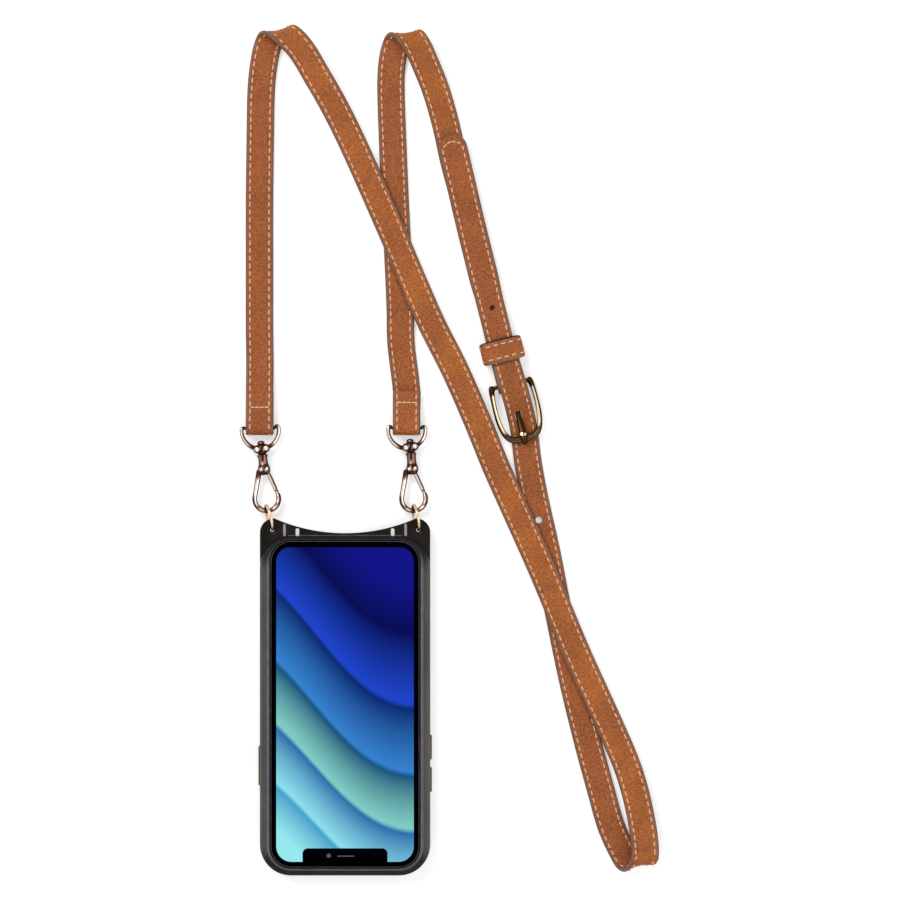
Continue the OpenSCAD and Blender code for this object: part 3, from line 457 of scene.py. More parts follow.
class Finish:
    """A material and short ways to add its nodes."""

    def __init__(self, name):
        self.material = bpy.data.materials.new(name)
        self.material.use_nodes = True
        self.tree = self.material.node_tree
        self.shader = self.tree.nodes["Principled BSDF"]

    def node(self, kind, **values):
        node = self.tree.nodes.new(kind)
        for key, value in values.items():
            if hasattr(node, key):
                setattr(node, key, value)
            else:
                node.inputs[key.replace("_", " ")].default_value = value
        return node

    def link(self, start, end):
        self.tree.links.new(start, end)

    def feed(self, socket, value):
        """Links another node's socket, or sets a number or a colour on the socket itself."""
        if isinstance(value, bpy.types.NodeSocket):
            self.link(value, socket)
        else:
            socket.default_value = value if isinstance(value, (int, float)) else tuple(value)

    def place(self, own_map=False, scale=(1, 1, 1)):
        """Where a pattern is read from: the piece's own map or its own coordinates."""
        where = self.node("ShaderNodeTexCoord")
        mapping = self.node("ShaderNodeMapping", Scale=scale)
        self.link(where.outputs["UV" if own_map else "Object"], mapping.inputs["Vector"])
        return mapping.outputs["Vector"]

    def noise(self, where, scale, detail=3.0, roughness=0.55, distortion=0.0):
        node = self.node("ShaderNodeTexNoise", Scale=scale, Detail=detail, Roughness=roughness,
                         Distortion=distortion)
        self.link(where, node.inputs["Vector"])
        return node.outputs["Fac"]

    def cells(self, where, scale, feature="SMOOTH_F1"):
        node = self.node("ShaderNodeTexVoronoi", feature=feature, Scale=scale)
        self.link(where, node.inputs["Vector"])
        return node.outputs["Distance"]

    def ramp(self, value, low, high, out_low=0.0, out_high=1.0):
        """A smooth rise, or fall, of a value between two limits."""
        node = self.node("ShaderNodeMapRange", interpolation_type="SMOOTHSTEP", From_Min=low,
                         From_Max=high, To_Min=out_low, To_Max=out_high)
        self.link(value, node.inputs["Value"])
        return node.outputs["Result"]

    def sum(self, a, b, operation="ADD"):
        """Two values added, or joined by another operation."""
        node = self.node("ShaderNodeMath", operation=operation)
        self.feed(node.inputs[0], a)
        self.feed(node.inputs[1], b)
        return node.outputs[0]

    def mix(self, share, a, b):
        """A colour between two others."""
        node = self.node("ShaderNodeMix", data_type="RGBA")
        self.feed(node.inputs["Factor"], share)
        for key, value in (("A", a), ("B", b)):
            self.feed(next(s for s in node.inputs if s.name == key and s.type == "RGBA"), value)
        return next(s for s in node.outputs if s.type == "RGBA")

    def speckle(self, base, where, scale, depth):
        """The same colour with fine lighter and darker grains."""
        grain = self.ramp(self.noise(where, scale, 3, 0.7), 0.36, 0.64)
        dark = self.mix(depth, base, (0, 0, 0, 1))
        return self.mix(grain, dark, self.mix(0.55 * depth, base, (0.9, 0.36, 0.12, 1)))

    def painted_light(self):
        """The share of painted light kept at the piece's points."""
        return self.node("ShaderNodeAttribute", attribute_name="painted_light").outputs["Fac"]

    def axes(self):
        """The piece's own X, Y and Z."""
        split = self.node("ShaderNodeSeparateXYZ")
        self.link(self.place(), split.inputs["Vector"])
        return split.outputs["X"], split.outputs["Y"], split.outputs["Z"]

    def bump(self, height, distance, strength):
        node = self.node("ShaderNodeBump", Distance=distance, Strength=strength)
        self.link(height, node.inputs["Height"])
        return node.outputs["Normal"]

    def finish(self, base, rough, normal=None, **values):
        """Feeds the shader; in a value's name _ stands for a space."""
        self.feed(self.shader.inputs["Base Color"], base)
        self.feed(self.shader.inputs["Roughness"], rough)
        if normal is not None:
            self.link(normal, self.shader.inputs["Normal"])
        for key, value in values.items():
            self.shader.inputs[key.replace("_", " ")].default_value = value
        return self.material


made = {}


def finish(name):
    """The material of that name, made when it is first asked for."""
    if name not in made:
        made[name] = FINISHES[name]()
    return made[name]


def recoat(node, name):
    """Gives a solid of the frame another finish."""
    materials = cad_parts[node].data.materials
    materials.clear()
    materials.append(finish(name))


def shade(c, share):
    """The same colour, darker or lighter."""
    return (c[0] * share, c[1] * share, c[2] * share, 1.0)


def smooth_leather():
    """Outer leather: fine pebbled grain, crosswise creases, slow changes of colour."""
    f, c = Finish("Smooth leather"), colours()
    flat = f.place(own_map=True)
    across = f.place(own_map=True, scale=(0.5, 1.0, 1.0))
    slow = f.noise(flat, 45, 3)
    patch = f.noise(flat, 170, 3, 0.6)
    crease = f.noise(across, 1150, 4, 0.65, 0.3)
    grain = f.cells(flat, 1500)
    warm = (c.leather[0] * 1.12, c.leather[1] * 1.18, c.leather[2] * 0.75, 1.0)
    base = f.mix(f.ramp(slow, 0.38, 0.64), shade(c.leather, 0.84), warm)
    base = f.mix(f.ramp(patch, 0.42, 0.75, 0.0, 0.35), base, c.leather_deep)
    base = f.mix(f.ramp(crease, 0.46, 0.68, 0.0, 0.45), base, c.leather_deep)
    base = f.speckle(base, across, 1350, 0.27)
    height = f.sum(f.sum(crease, -0.7, "MULTIPLY"), f.sum(grain, 0.6, "MULTIPLY"))
    rough = f.ramp(patch, 0.3, 0.7, 0.46, 0.6)
    return f.finish(base, rough, f.bump(height, 0.00022, 0.6), Specular_IOR_Level=0.22)


def lining_leather():
    """Inner side: a coarser grain of short wavy strokes across the strap."""
    f, c = Finish("Lining leather"), colours()
    flat = f.place(own_map=True)
    across = f.place(own_map=True, scale=(0.55, 1.0, 1.0))
    slow = f.noise(flat, 60, 3)
    stroke = f.noise(across, 1200, 4, 0.7, 0.5)
    blotch = f.noise(flat, 300, 3, 0.6, 0.3)
    base = f.mix(f.ramp(slow, 0.35, 0.68), shade(c.lining, 0.88), shade(c.lining, 1.12))
    base = f.mix(f.ramp(blotch, 0.45, 0.72, 0.0, 0.28), base, c.lining_deep)
    base = f.mix(f.ramp(stroke, 0.46, 0.68, 0.0, 0.5), base, c.lining_deep)
    base = f.speckle(base, across, 1350, 0.27)
    height = f.sum(f.sum(stroke, -0.9, "MULTIPLY"), f.sum(blotch, 0.4, "MULTIPLY"))
    rough = f.ramp(stroke, 0.3, 0.7, 0.5, 0.7)
    return f.finish(base, rough, f.bump(height, 0.0003, 0.6), Specular_IOR_Level=0.2)


def edge_paint():
    """The straps' painted edges, a little worn along their length."""
    f, c = Finish("Edge paint"), colours()
    along = f.place(own_map=True, scale=(1.0, 0.35, 1.0))
    worn = f.noise(along, 420, 4, 0.6)
    base = f.mix(f.ramp(worn, 0.42, 0.68), shade(c.paint, 0.72), shade(c.paint, 1.2))
    return f.finish(base, f.ramp(worn, 0.3, 0.7, 0.36, 0.52), f.bump(worn, 0.00015, 0.5))


def two_tone(title, scale, detail, dark, light, rough, edges=(0.3, 0.7), stretch=(1, 1, 1),
             grain=0.55, height=None, **values):
    """Two colours mixed by a fine noise, which also sets the gloss and, if asked, a bump."""
    f = Finish(title)
    pattern = f.noise(f.place(scale=stretch), scale, detail, grain)
    base = f.mix(f.ramp(pattern, *edges), dark, light)
    normal = f.bump(pattern, height, 0.3) if height else None
    return f.finish(base, f.ramp(pattern, 0.3, 0.7, *rough), normal, **values)


def punched():
    """Near-black painted shade for the walls of punched holes and slots and the keeper's top rim."""
    return two_tone("Painted hole shade", 1800, 3, (0.014, 0.005, 0.003, 1), (0.035, 0.012, 0.007, 1),
                    (0.7, 0.9), Specular_IOR_Level=0.1)


def sewing_thread():
    """Pale thread with fine fibres."""
    f, c = Finish("Sewing thread"), colours()
    fibre = f.noise(f.place(), 2600, 2, 0.6)
    base = f.mix(f.ramp(fibre, 0.35, 0.7), shade(c.thread, 0.82), c.thread)
    return f.finish(base, 0.62, f.bump(fibre, 0.00012, 0.6), Sheen_Weight=0.15)


def bronze_with_highlights():
    """Clip metal coloured by its share of painted light: dark metal that also stands for painted shade, a
    painted copper highlight between, pale painted highlights.
    """
    f, c = Finish("Bronze with painted highlights"), colours()
    worn = f.noise(f.place(), 650, 4, 0.6)
    share = f.sum(f.painted_light(), f.ramp(worn, 0.3, 0.7, 0.88, 1.06), "MULTIPLY")
    base = f.mix(f.ramp(share, 0.0, 0.5), c.bronze_dark_and_shade, c.bronze_copper_highlight)
    base = f.mix(f.ramp(share, 0.45, 0.95), base, c.bronze)
    return f.finish(base, f.ramp(worn, 0.3, 0.7, 0.26, 0.36), f.bump(worn, 0.00004, 0.3), Metallic=1.0)


def buckle_brass():
    """Buckle metal coloured by its share of painted light: pale gold painted highlights, dark olive metal
    that also stands for painted shade.
    """
    f, c = Finish("Buckle brass"), colours()
    worn = f.noise(f.place(), 420, 4, 0.6)
    share = f.sum(f.painted_light(), f.ramp(worn, 0.3, 0.7, 0.9, 1.08), "MULTIPLY")
    base = f.mix(f.ramp(share, 0.0, 1.0), c.brass_dark_and_shade, c.brass)
    return f.finish(base, f.ramp(worn, 0.3, 0.7, 0.22, 0.32), f.bump(worn, 0.00004, 0.3), Metallic=1.0)


def pale_gold():
    """Jump rings: clean pale gold with a few duller patches."""
    gold = colours().gold
    return two_tone("Pale gold", 900, 3, gold, shade(gold, 0.55), (0.18, 0.32), edges=(0.45, 0.72),
                    grain=0.6, height=0.00005, Metallic=1.0)


def spring_steel():
    """The gates' leaf springs: bright steel drawn along its length."""
    return two_tone("Spring steel", 800, 3, (0.55, 0.55, 0.57, 1), (0.3, 0.3, 0.32, 1), (0.25, 0.4),
                    edges=(0.4, 0.7), stretch=(1, 4, 1), Metallic=1.0)


def soft_black():
    """Case: black moulded plastic with a painted grey sheen along both sides, fading towards the top and
    dim at the bottom.
    """
    f, c = Finish("Soft black case"), colours()
    where = f.place()
    slow = f.noise(where, 40, 3)
    grain = f.noise(where, 2200, 3, 0.6)
    x, y, _ = f.axes()
    across = f.sum(x, 0, "ABSOLUTE")
    # Painted sheen: along the side walls and outer edges, fading towards the top and dimmed at the bottom
    wall = f.sum(f.ramp(across, 35.0 * MM, 36.6 * MM, 0.0, 0.6),
                 f.ramp(across, 37.4 * MM, 38.9 * MM, 0.0, 0.4))
    wall = f.sum(wall, f.ramp(y, 60 * MM, 70 * MM, 1.0, 0.0), "MULTIPLY")
    edge = f.sum(f.ramp(across, 37.4 * MM, 38.5 * MM, 0.0, 0.9),
                 f.ramp(y, 76 * MM, 82 * MM, 1.0, 0.0), "MULTIPLY")
    sheen = f.sum(f.sum(wall, edge, "MAXIMUM"), f.ramp(y, -73 * MM, -63 * MM, 0.12, 1.0), "MULTIPLY")
    sheen = f.sum(sheen, f.ramp(slow, 0.3, 0.7, 0.8, 1.1), "MULTIPLY")
    base = f.mix(f.ramp(slow, 0.35, 0.7), shade(c.case, 0.8), shade(c.case, 1.25))
    base = f.mix(sheen, base, c.case_edge_sheen)
    rough = f.ramp(slow, 0.3, 0.7, 0.34, 0.46)
    return f.finish(base, rough, f.bump(grain, 0.00004, 0.4), Specular_IOR_Level=0.12)


def painted_lip_sheen():
    """The tray's inner lip: a grey painted highlight, brightest along the sides and dimmed towards black at
    the top and bottom.
    """
    f, c = Finish("Case lip painted highlight"), colours()
    highlight_share = f.noise(f.place(), 260, 4, 0.65)
    _, y, _ = f.axes()
    base = f.mix(f.ramp(highlight_share, 0.3, 0.7), shade(c.case_lip_highlight, 0.72), c.case_lip_highlight)
    # The painted highlight dims towards black near the top and bottom
    dim = f.sum(f.ramp(y, 62 * MM, 72 * MM, 0.0, 0.8), f.ramp(y, -73 * MM, -66 * MM, 0.4, 0.0))
    base = f.mix(dim, base, c.case)
    return f.finish(base, f.ramp(highlight_share, 0.3, 0.7, 0.34, 0.5), f.bump(highlight_share, 0.00006, 0.4),
                    Specular_IOR_Level=0.12)


def rib_grey():
    """Ribs on the ear plate: grey painted highlights, the two inner ones almost white."""
    f, c = Finish("Rib painted highlights"), colours()
    highlight_share = f.noise(f.place(), 420, 3, 0.6)
    x, _, _ = f.axes()
    inner = f.ramp(f.sum(x, 0, "ABSOLUTE"), 24.5 * MM, 25.5 * MM, 1.0, 0.0)
    base = f.mix(f.ramp(highlight_share, 0.3, 0.7), shade(c.case_lip_highlight, 1.5), shade(c.case_lip_highlight, 2.1))
    base = f.mix(inner, base, (0.68, 0.68, 0.65, 1))
    return f.finish(base, f.ramp(highlight_share, 0.3, 0.7, 0.2, 0.3), f.bump(highlight_share, 0.00004, 0.3))


def bead_sheen():
    """The bead along the ear plate's foot, a dull grey painted sheen."""
    return two_tone("Bead sheen", 300, 3, (0.06, 0.054, 0.05, 1), (0.105, 0.095, 0.09, 1), (0.3, 0.45),
                    Specular_IOR_Level=0.15)


def glossy_black():
    """The ear plate and the phone's back: warm black with a faint unevenness."""
    return two_tone("Glossy black", 120, 3, (0.009, 0.0075, 0.006, 1), (0.016, 0.013, 0.011, 1),
                    (0.12, 0.2), edges=(0.35, 0.7), height=0.00003, Specular_IOR_Level=0.06)


def phone_metal():
    """The phone's frame and keys: dark metal brushed along its thickness."""
    return two_tone("Phone metal", 700, 3, (0.03, 0.03, 0.035, 1), (0.07, 0.07, 0.08, 1), (0.22, 0.34),
                    edges=(0.35, 0.7), stretch=(1, 1, 12), height=0.00002, Metallic=0.8)


def bezel_glass():
    """The black border of the phone's glass."""
    return two_tone("Bezel glass", 60, 2, (0.0004, 0.0004, 0.0008, 1), (0.001, 0.001, 0.002, 1),
                    (0.06, 0.1), Specular_IOR_Level=0.0)


def rim_grey():
    """The phone's metal rim: grey metal that also stands as a painted highlight line round the glass, grey
    along its top and a little darker below it.
    """
    f = Finish("Phone rim")
    brushed = f.noise(f.place(), 300, 3)
    _, y, _ = f.axes()
    base = f.mix(f.ramp(brushed, 0.3, 0.7), (0.05, 0.055, 0.07, 1), (0.08, 0.085, 0.1, 1))
    base = f.mix(f.ramp(y, 62 * MM, 70 * MM, 0.3, 0.0), base, (0.004, 0.004, 0.006, 1))
    return f.finish(base, f.ramp(brushed, 0.3, 0.7, 0.25, 0.35), Specular_IOR_Level=0.2)


def lens_glass():
    """The notch's lens: dark blue glass."""
    f = Finish("Lens glass")
    faint = f.noise(f.place(), 900, 2)
    base = f.mix(f.ramp(faint, 0.3, 0.7), (0.01, 0.015, 0.04, 1), (0.03, 0.04, 0.09, 1))
    return f.finish(base, 0.08, Coat_Weight=0.6)


def speaker_mesh():
    """The notch's slit: dark metal with fine holes."""
    f = Finish("Speaker mesh")
    holes = f.cells(f.place(), 4200, "F1")
    base = f.mix(f.ramp(holes, 0.2, 0.6), (0.01, 0.01, 0.012, 1), (0.06, 0.06, 0.07, 1))
    return f.finish(base, 0.5, f.bump(holes, 0.00005, 0.5))


def display():
    """Lit screen with a plain picture of its own: soft slanting ribbons from deep blue to cyan."""
    f = Finish("Display")
    x, y, _ = f.axes()
    sway = f.sum(f.sum(f.sum(x, 52.0, "MULTIPLY"), 0.7), 0, "SINE")
    roll = f.sum(f.sum(f.sum(y, 26.0, "MULTIPLY"), 2.1), 0, "SINE")
    slant = f.sum(f.sum(x, 3.1, "MULTIPLY"), f.sum(sway, 0.075, "MULTIPLY"))
    level = f.sum(f.sum(f.sum(y, 6.2, "MULTIPLY"), 0.5), f.sum(slant, f.sum(roll, 0.02, "MULTIPLY")))
    ramp = f.node("ShaderNodeValToRGB")
    f.link(level, ramp.inputs["Fac"])
    stops = ((0.0, (150, 232, 238)), (0.13, (70, 160, 200)),
             (0.145, (140, 222, 238)), (0.3, (44, 110, 170)),
             (0.315, (128, 205, 196)), (0.47, (24, 84, 122)),
             (0.485, (56, 128, 206)), (0.66, (14, 44, 112)),
             (0.675, (34, 70, 200)), (0.86, (8, 16, 84)), (1.0, (22, 24, 134)))
    line = ramp.color_ramp
    while len(line.elements) < len(stops):
        line.elements.new(0.5)
    for element, (at, rgb) in zip(line.elements, stops):
        element.position = at
        element.color = tuple((c / 255) ** 2.2 for c in rgb) + (1.0,)
    art = f.mix(f.ramp(y, 72.7 * MM, 73.0 * MM), ramp.outputs["Color"], (0.001, 0.001, 0.003, 1))
    half = f.mix(0.5, art, (0, 0, 0, 1))
    f.link(art, f.shader.inputs["Emission Color"])
    return f.finish(half, 0.08, Emission_Strength=0.5, Specular_IOR_Level=0.03)


FINISHES = {maker.__name__: maker for maker in (
    smooth_leather, lining_leather, edge_paint, punched, sewing_thread, bronze_with_highlights, buckle_brass,
    pale_gold, spring_steel, soft_black, painted_lip_sheen, rib_grey, bead_sheen, glossy_black, phone_metal,
    bezel_glass, rim_grey, lens_glass, speaker_mesh, display)}


# Stage

class POUCH_OT_stage(bpy.types.Operator):
    """White floor, soft light and a camera that looks straight down"""
    bl_idname = "pouch.stage"
    bl_label = "Stage"

    def execute(self, context):
        scene = context.scene
        bm = bmesh.new()
        bmesh.ops.create_grid(bm, x_segments=1, y_segments=1, size=3.0)
        bmesh.ops.translate(bm, vec=MIDDLE + Vector((0, 0, FLOOR_Z)), verts=bm.verts)
        f = Finish("White floor")
        f.finish((0.86, 0.86, 0.86, 1), 0.9, Specular_IOR_Level=0.1)
        path = f.node("ShaderNodeLightPath")
        seen = f.sum(f.sum(path.outputs["Is Camera Ray"], path.outputs["Is Glossy Ray"]),
                     path.outputs["Is Transmission Ray"])
        glow = f.node("ShaderNodeEmission")
        f.link(f.sum(seen, 0.42, "MULTIPLY"), glow.inputs["Strength"])
        both = f.node("ShaderNodeAddShader")
        f.link(f.shader.outputs[0], both.inputs[0])
        f.link(glow.outputs[0], both.inputs[1])
        f.link(both.outputs[0], f.tree.nodes["Material Output"].inputs["Surface"])
        floor = mesh_object("floor", bm, [f.material])

        world = bpy.data.worlds.new("Soft room")
        scene.world = world
        world.use_nodes = True
        tree = world.node_tree
        back = tree.nodes["Background"]
        back.inputs["Color"].default_value = (1, 1, 1, 1)
        path = tree.nodes.new("ShaderNodeLightPath")
        seen = path.outputs["Is Camera Ray"]
        for ray in ("Is Glossy Ray", "Is Transmission Ray"):
            both = tree.nodes.new("ShaderNodeMath")
            tree.links.new(seen, both.inputs[0])
            tree.links.new(path.outputs[ray], both.inputs[1])
            seen = both.outputs[0]
        strength = tree.nodes.new("ShaderNodeMapRange")
        strength.inputs["To Min"].default_value = 0.3
        strength.inputs["To Max"].default_value = 1.0
        tree.links.new(seen, strength.inputs["Value"])
        tree.links.new(strength.outputs["Result"], back.inputs["Strength"])

        for name, place, size, power in LAMPS:
            lamp = bpy.data.lights.new(name, "AREA")
            lamp.shape = "RECTANGLE"
            lamp.size, lamp.size_y = size
            lamp.energy = power
            holder = bpy.data.objects.new(name, lamp)
            scene.collection.objects.link(holder)
            holder.location = place
            holder.rotation_euler = (MIDDLE - Vector(place)).to_track_quat("-Z", "Y").to_euler()

        camera = bpy.data.objects.new("camera", bpy.data.cameras.new("camera"))
        scene.collection.objects.link(camera)
        camera.data.sensor_fit = "AUTO"
        camera.data.sensor_width = SENSOR_W
        camera.data.lens = SENSOR_W * CAMERA_REACH / FRAME_W
        camera.location = (FRAME_X, FRAME_Y, CAMERA_REACH + STRAPS_Z)
        camera.data.clip_end = 20.0
        scene.camera = camera
        scene.view_settings.view_transform = "Standard"
        return {"FINISHED"}


# Straps

def ply_section(half, depth, face):
    """One ply from side to side: its rounded painted edge, the seam's groove, its flat back.
    face is 1 for the outer ply and -1 for the lining."""
    s = sizes()
    p, seam = s.paint_w, s.seam_inset
    edge = [(0.0, 0.0), (0.0, 0.42), (0.16 * p, 0.72), (0.45 * p, 0.9), (0.8 * p, 0.985), (p, 1.0),
            (p + 0.35 * (seam - p), 0.995), (seam - 0.32 * MM, 0.93), (seam, 0.85),
            (seam + 0.34 * MM, 0.93), (seam + 0.8 * MM, 0.99), (seam + 1.7 * MM, 1.0)]
    top = [(-half + a, h) for a, h in edge] + [(0.0, 1.0)] + [(half - a, h) for a, h in reversed(edge)]
    points = [(a, face * depth * h) for a, h in top] + [(0.0, 0.0)]
    if face < 0:
        points.reverse()
    return points


def tongue_at(left, tip):
    """How much wider the tongue is at a distance from its end, what its tip takes off that, and
    the share of the tip that is passed. tip is the tip's length, 0 for a strap without a tongue."""
    if not tip:
        return 1.0, 0.0, 0.0
    share = max(0.0, 1 - left / tip)
    return 1 + TONGUE_MORE * step_up(TONGUE_FROM, TONGUE_FULL, left), TIP_TAPER * share**2.4, share


def strap_ply(name, lay, face, finishes, replaced, tip=0.0):
    """One ply of a strap, swept along its lay. face is 1 for the outer ply and -1 for the lining."""
    s = sizes()
    half, depth = s.strap_w / 2, s.strap_t / 2
    rows = ceil(lay.total / s.step)
    section = ply_section(half, depth, face)
    columns = len(section)
    leather_from = half - s.paint_w
    map_shift = 0.02 if face < 0 else 0.0
    where = [(i / rows * lay.total, lay.at(i / rows * lay.total)) for i in range(rows + 1)]

    def place(i, k):
        along, (point, way, side, up) = where[i]
        a, h = section[k % columns]
        wide, narrow, share = tongue_at(lay.total - along, tip)
        out = share**2 * (TIP_BOW * (1 - (a / half) ** 2) - TIP_BACK)
        return point + side * (a * (wide - narrow)) + up * h + way * out

    def mapped(i, k):
        return (section[k % columns][0] + map_shift, where[i][0])

    def finish_of(_, k):
        a0, a1 = section[k % columns][0], section[(k + 1) % columns][0]
        return 1 if min(abs(a0), abs(a1)) >= leather_from - 1e-6 and abs(a0 - a1) < half else 0

    bm = lay_grid(rows, columns, place, mapped, round_columns=True, finish_of=finish_of)
    close_ends(bm)
    return add_piece(name, bm, "straps", finishes, replaced, sharp=40)


def stitch_shape():
    """One stitch, along X, with its ends sunk into the leather."""
    s = sizes()
    bm = bmesh.new()
    bmesh.ops.create_uvsphere(bm, u_segments=6, v_segments=6, radius=1.0)
    bmesh.ops.rotate(bm, cent=(0, 0, 0), matrix=Matrix.Rotation(radians(90), 3, "Y"), verts=bm.verts)
    for v in bm.verts:
        x = v.co.x
        thick = hypot(v.co.y, v.co.z)
        if thick > 1e-6:
            fuller = thick**0.45 / thick
            v.co.y *= fuller
            v.co.z *= fuller
        v.co.z = v.co.z * 0.8 - 0.55 * x * x
    bmesh.ops.scale(bm, vec=(s.stitch_l / 2, s.thread_w / 2, s.thread_w / 2), verts=bm.verts)
    shape = bpy.data.meshes.new("stitch")
    bm.to_mesh(shape)
    bm.free()
    return shape


def sew(bm, shape, point, way, up, stretch=1.0):
    """Adds one stitch at a point, along a way."""
    start = len(bm.verts)
    bm.from_mesh(shape)
    bm.verts.ensure_lookup_table()
    side = up.cross(way).normalized()
    turned = Matrix((way * stretch, side, up)).transposed().to_4x4()
    bmesh.ops.transform(bm, matrix=Matrix.Translation(point) @ turned, verts=bm.verts[start:])


def seams(name, lay, face, start, end, tip=0.0, cross=()):
    """The two rows of stitches on one face of a strap, and the rows across it. Each of those is
    its place along the strap, its number of stitches, how far it bows and how long they are."""
    s = sizes()
    bm = bmesh.new()
    shape = stitch_shape()
    reach = s.strap_w / 2 - s.seam_inset
    height = face * (s.strap_t / 2 * 0.86 + 0.25 * s.thread_w)
    count = int((end - start) / s.stitch_pitch)
    for row in (-1, 1):
        for i in range(count + 1):
            along = start + (i + 0.5) * (end - start) / (count + 1)
            point, way, side, up = lay.at(along)
            wide, narrow, _ = tongue_at(lay.total - along, tip)
            across = row * reach * wide * (1 - narrow)
            sew(bm, shape, point + side * across + up * height, way, up * face)
    for along, number, bow, stretch in cross:
        point, way, side, up = lay.at(along)
        for i in range(number):
            a = (i + 0.5 - number / 2) * 2 * reach / number
            ahead = bow * (1 - (a / reach) ** 2)
            lean = (side - way * (2 * bow * a / reach**2)).normalized()
            sew(bm, shape, point + side * a + way * ahead + up * (height * 1.02), lean, up * face, stretch)
    bpy.data.meshes.remove(shape)
    return add_piece(name, bm, "straps", [finish("sewing_thread")], sharp=0)


def punch(x, y, z, radius, depth):
    """The upright cylinder that a hole takes out of a strap."""
    bm = bmesh.new()
    bmesh.ops.create_cone(bm, cap_ends=True, segments=28, radius1=radius, radius2=radius, depth=depth)
    bmesh.ops.translate(bm, vec=sh(x, y, z), verts=bm.verts)
    return cutter_from(bm, finish("punched"))


class POUCH_OT_straps(bpy.types.Operator):
    """Both straps: outer and lining plies, painted edges, holes and seams"""
    bl_idname = "pouch.straps"
    bl_label = "Straps"

    def execute(self, context):
        long_lay, short_lay = Lay(long_line()), Lay(short_line())
        tip = 2.6 * sizes().strap_t
        pieces = []
        for strap, lay, end in (("long", long_lay, tip), ("short", short_lay, 0.0)):
            for ply, face, leather in (("outer", 1, "smooth_leather"), ("lining", -1, "lining_leather")):
                pieces.append(strap_ply(strap + "_strap_" + ply, lay, face,
                                        [finish(leather), finish("edge_paint")],
                                        ["strap_" + strap + "_" + ply], end))

        aslant = Matrix.Rotation(BUCKLE_TURN, 3, "Z")
        # The walls of these holes and of the openings round and under the prong take near-black painted
        # shade
        for piece in pieces[:2]:
            prong_slot = block(PRONG_SLOT, bk(PRONG_SLOT_AT, 0), 1.2 * MM, aslant, 5, True)
            under_prong = block(UNDER_PRONG, bk(UNDER_PRONG_AT, UNDER_PRONG_TOP - UNDER_PRONG[2] / 2),
                                0.2 * MM, aslant)
            cut(piece, [punch(*LOW_HOLE, 0, LOW_HOLE_R, THROUGH),
                        punch(*SPARE_HOLE, 0, SPARE_HOLE_R, THROUGH),
                        cutter_from(prong_slot, finish("punched")),
                        cutter_from(under_prong, finish("punched"))])
        for piece in pieces[2:]:
            heel_slot = block(HEEL_SLOT, bk(0, 0), turn=aslant)
            cut(piece, [cutter_from(heel_slot, finish("edge_paint"))])
        # A shallow blind hole in the short strap under the spare hole, whose walls and floor take
        # near-black painted shade
        cut(pieces[2], [punch(*SPARE_HOLE, 2.0 * MM, 1.2 * MM, 1.0 * MM)])

        left_cross = long_lay.near(at_bar(LEFT_HUB_X, 9.8 * MM, 5.0 * MM), 0.03, 0.2)
        left_under = long_lay.near(at_bar(LEFT_HUB_X, 9.8 * MM, LAY_Z), 0.0, 0.02)
        right_cross = short_lay.near(at_bar(RIGHT_HUB_X, 11.4 * MM, TAIL_Z), 0.0, 0.05)
        tip_row = long_lay.total - 4.4 * MM
        seams("long_strap_outer_seams", long_lay, 1, 1.5 * MM, long_lay.total - 4 * MM, tip,
              [(left_under, 4, 0, 0.9)])
        seams("long_strap_lining_seams", long_lay, -1, 1.5 * MM, tip_row, tip,
              [(left_cross, 4, 0, 0.9), (tip_row, 4, 2.1 * MM, 0.85)])
        seams("short_strap_outer_seams", short_lay, 1, 0.8 * MM, short_lay.total - 1 * MM,
              cross=[(right_cross, 4, 0, 0.9)])
        seams("short_strap_lining_seams", short_lay, -1, 0.8 * MM, short_lay.total - 1 * MM)
        return {"FINISHED"}


# Bars, wires and turned shapes

def wire(path, up, radius, around=16, closed=False, flat=1.0):
    """A bar along a path, with rounded ends unless it is closed. up is the normal of the path's
    plane, flat the section's height over its width; radius is one number or one for each point."""
    path = [Vector(p) for p in path]
    radii = list(radius) if isinstance(radius, (list, tuple)) else [radius] * len(path)
    if not closed:
        for end, inner in ((0, 1), (-1, -2)):
            way, r, p = (path[end] - path[inner]).normalized(), radii[end], path[end].copy()
            cap = [(p + way * r * sin(radians(a)), r * cos(radians(a))) for a in (30, 55, 75, 88)]
            if end == 0:
                path = [c for c, _ in reversed(cap)] + path
                radii = [c for _, c in reversed(cap)] + radii
            else:
                path += [c for c, _ in cap]
                radii += [c for _, c in cap]
    count = len(path)

    def place(i, k):
        i %= count
        before = path[(i - 1) % count] if closed else path[max(i - 1, 0)]
        after = path[(i + 1) % count] if closed else path[min(i + 1, count - 1)]
        side = up.cross((after - before).normalized()).normalized()
        a = 2 * pi * k / around
        return path[i] + (side * cos(a) + up * sin(a) * flat) * radii[i]

    bm = lay_grid(count if closed else count - 1, around, place, round_rows=closed, round_columns=True)
    return close_ends(bm)


def turned(profile, start, axis, steps=32):
    """A shape turned round an axis. The profile is (distance along it, radius) from end to end,
    in millimetres; its first and last points lie on the axis, but for a hair."""
    bm = bmesh.new()
    axis = axis.normalized()
    side = axis.orthogonal().normalized()
    points = [bm.verts.new(start + axis * (d * MM) + side * (max(r, 0.001) * MM)) for d, r in profile]
    edges = [bm.edges.new(pair) for pair in zip(points, points[1:])]
    bmesh.ops.spin(bm, geom=points + edges, cent=start, axis=axis, dvec=(0, 0, 0), angle=2 * pi,
                   steps=steps, use_merge=True, use_duplicate=False)
    bmesh.ops.remove_doubles(bm, verts=bm.verts, dist=1e-6)
    bmesh.ops.recalc_face_normals(bm, faces=bm.faces)
    return bm


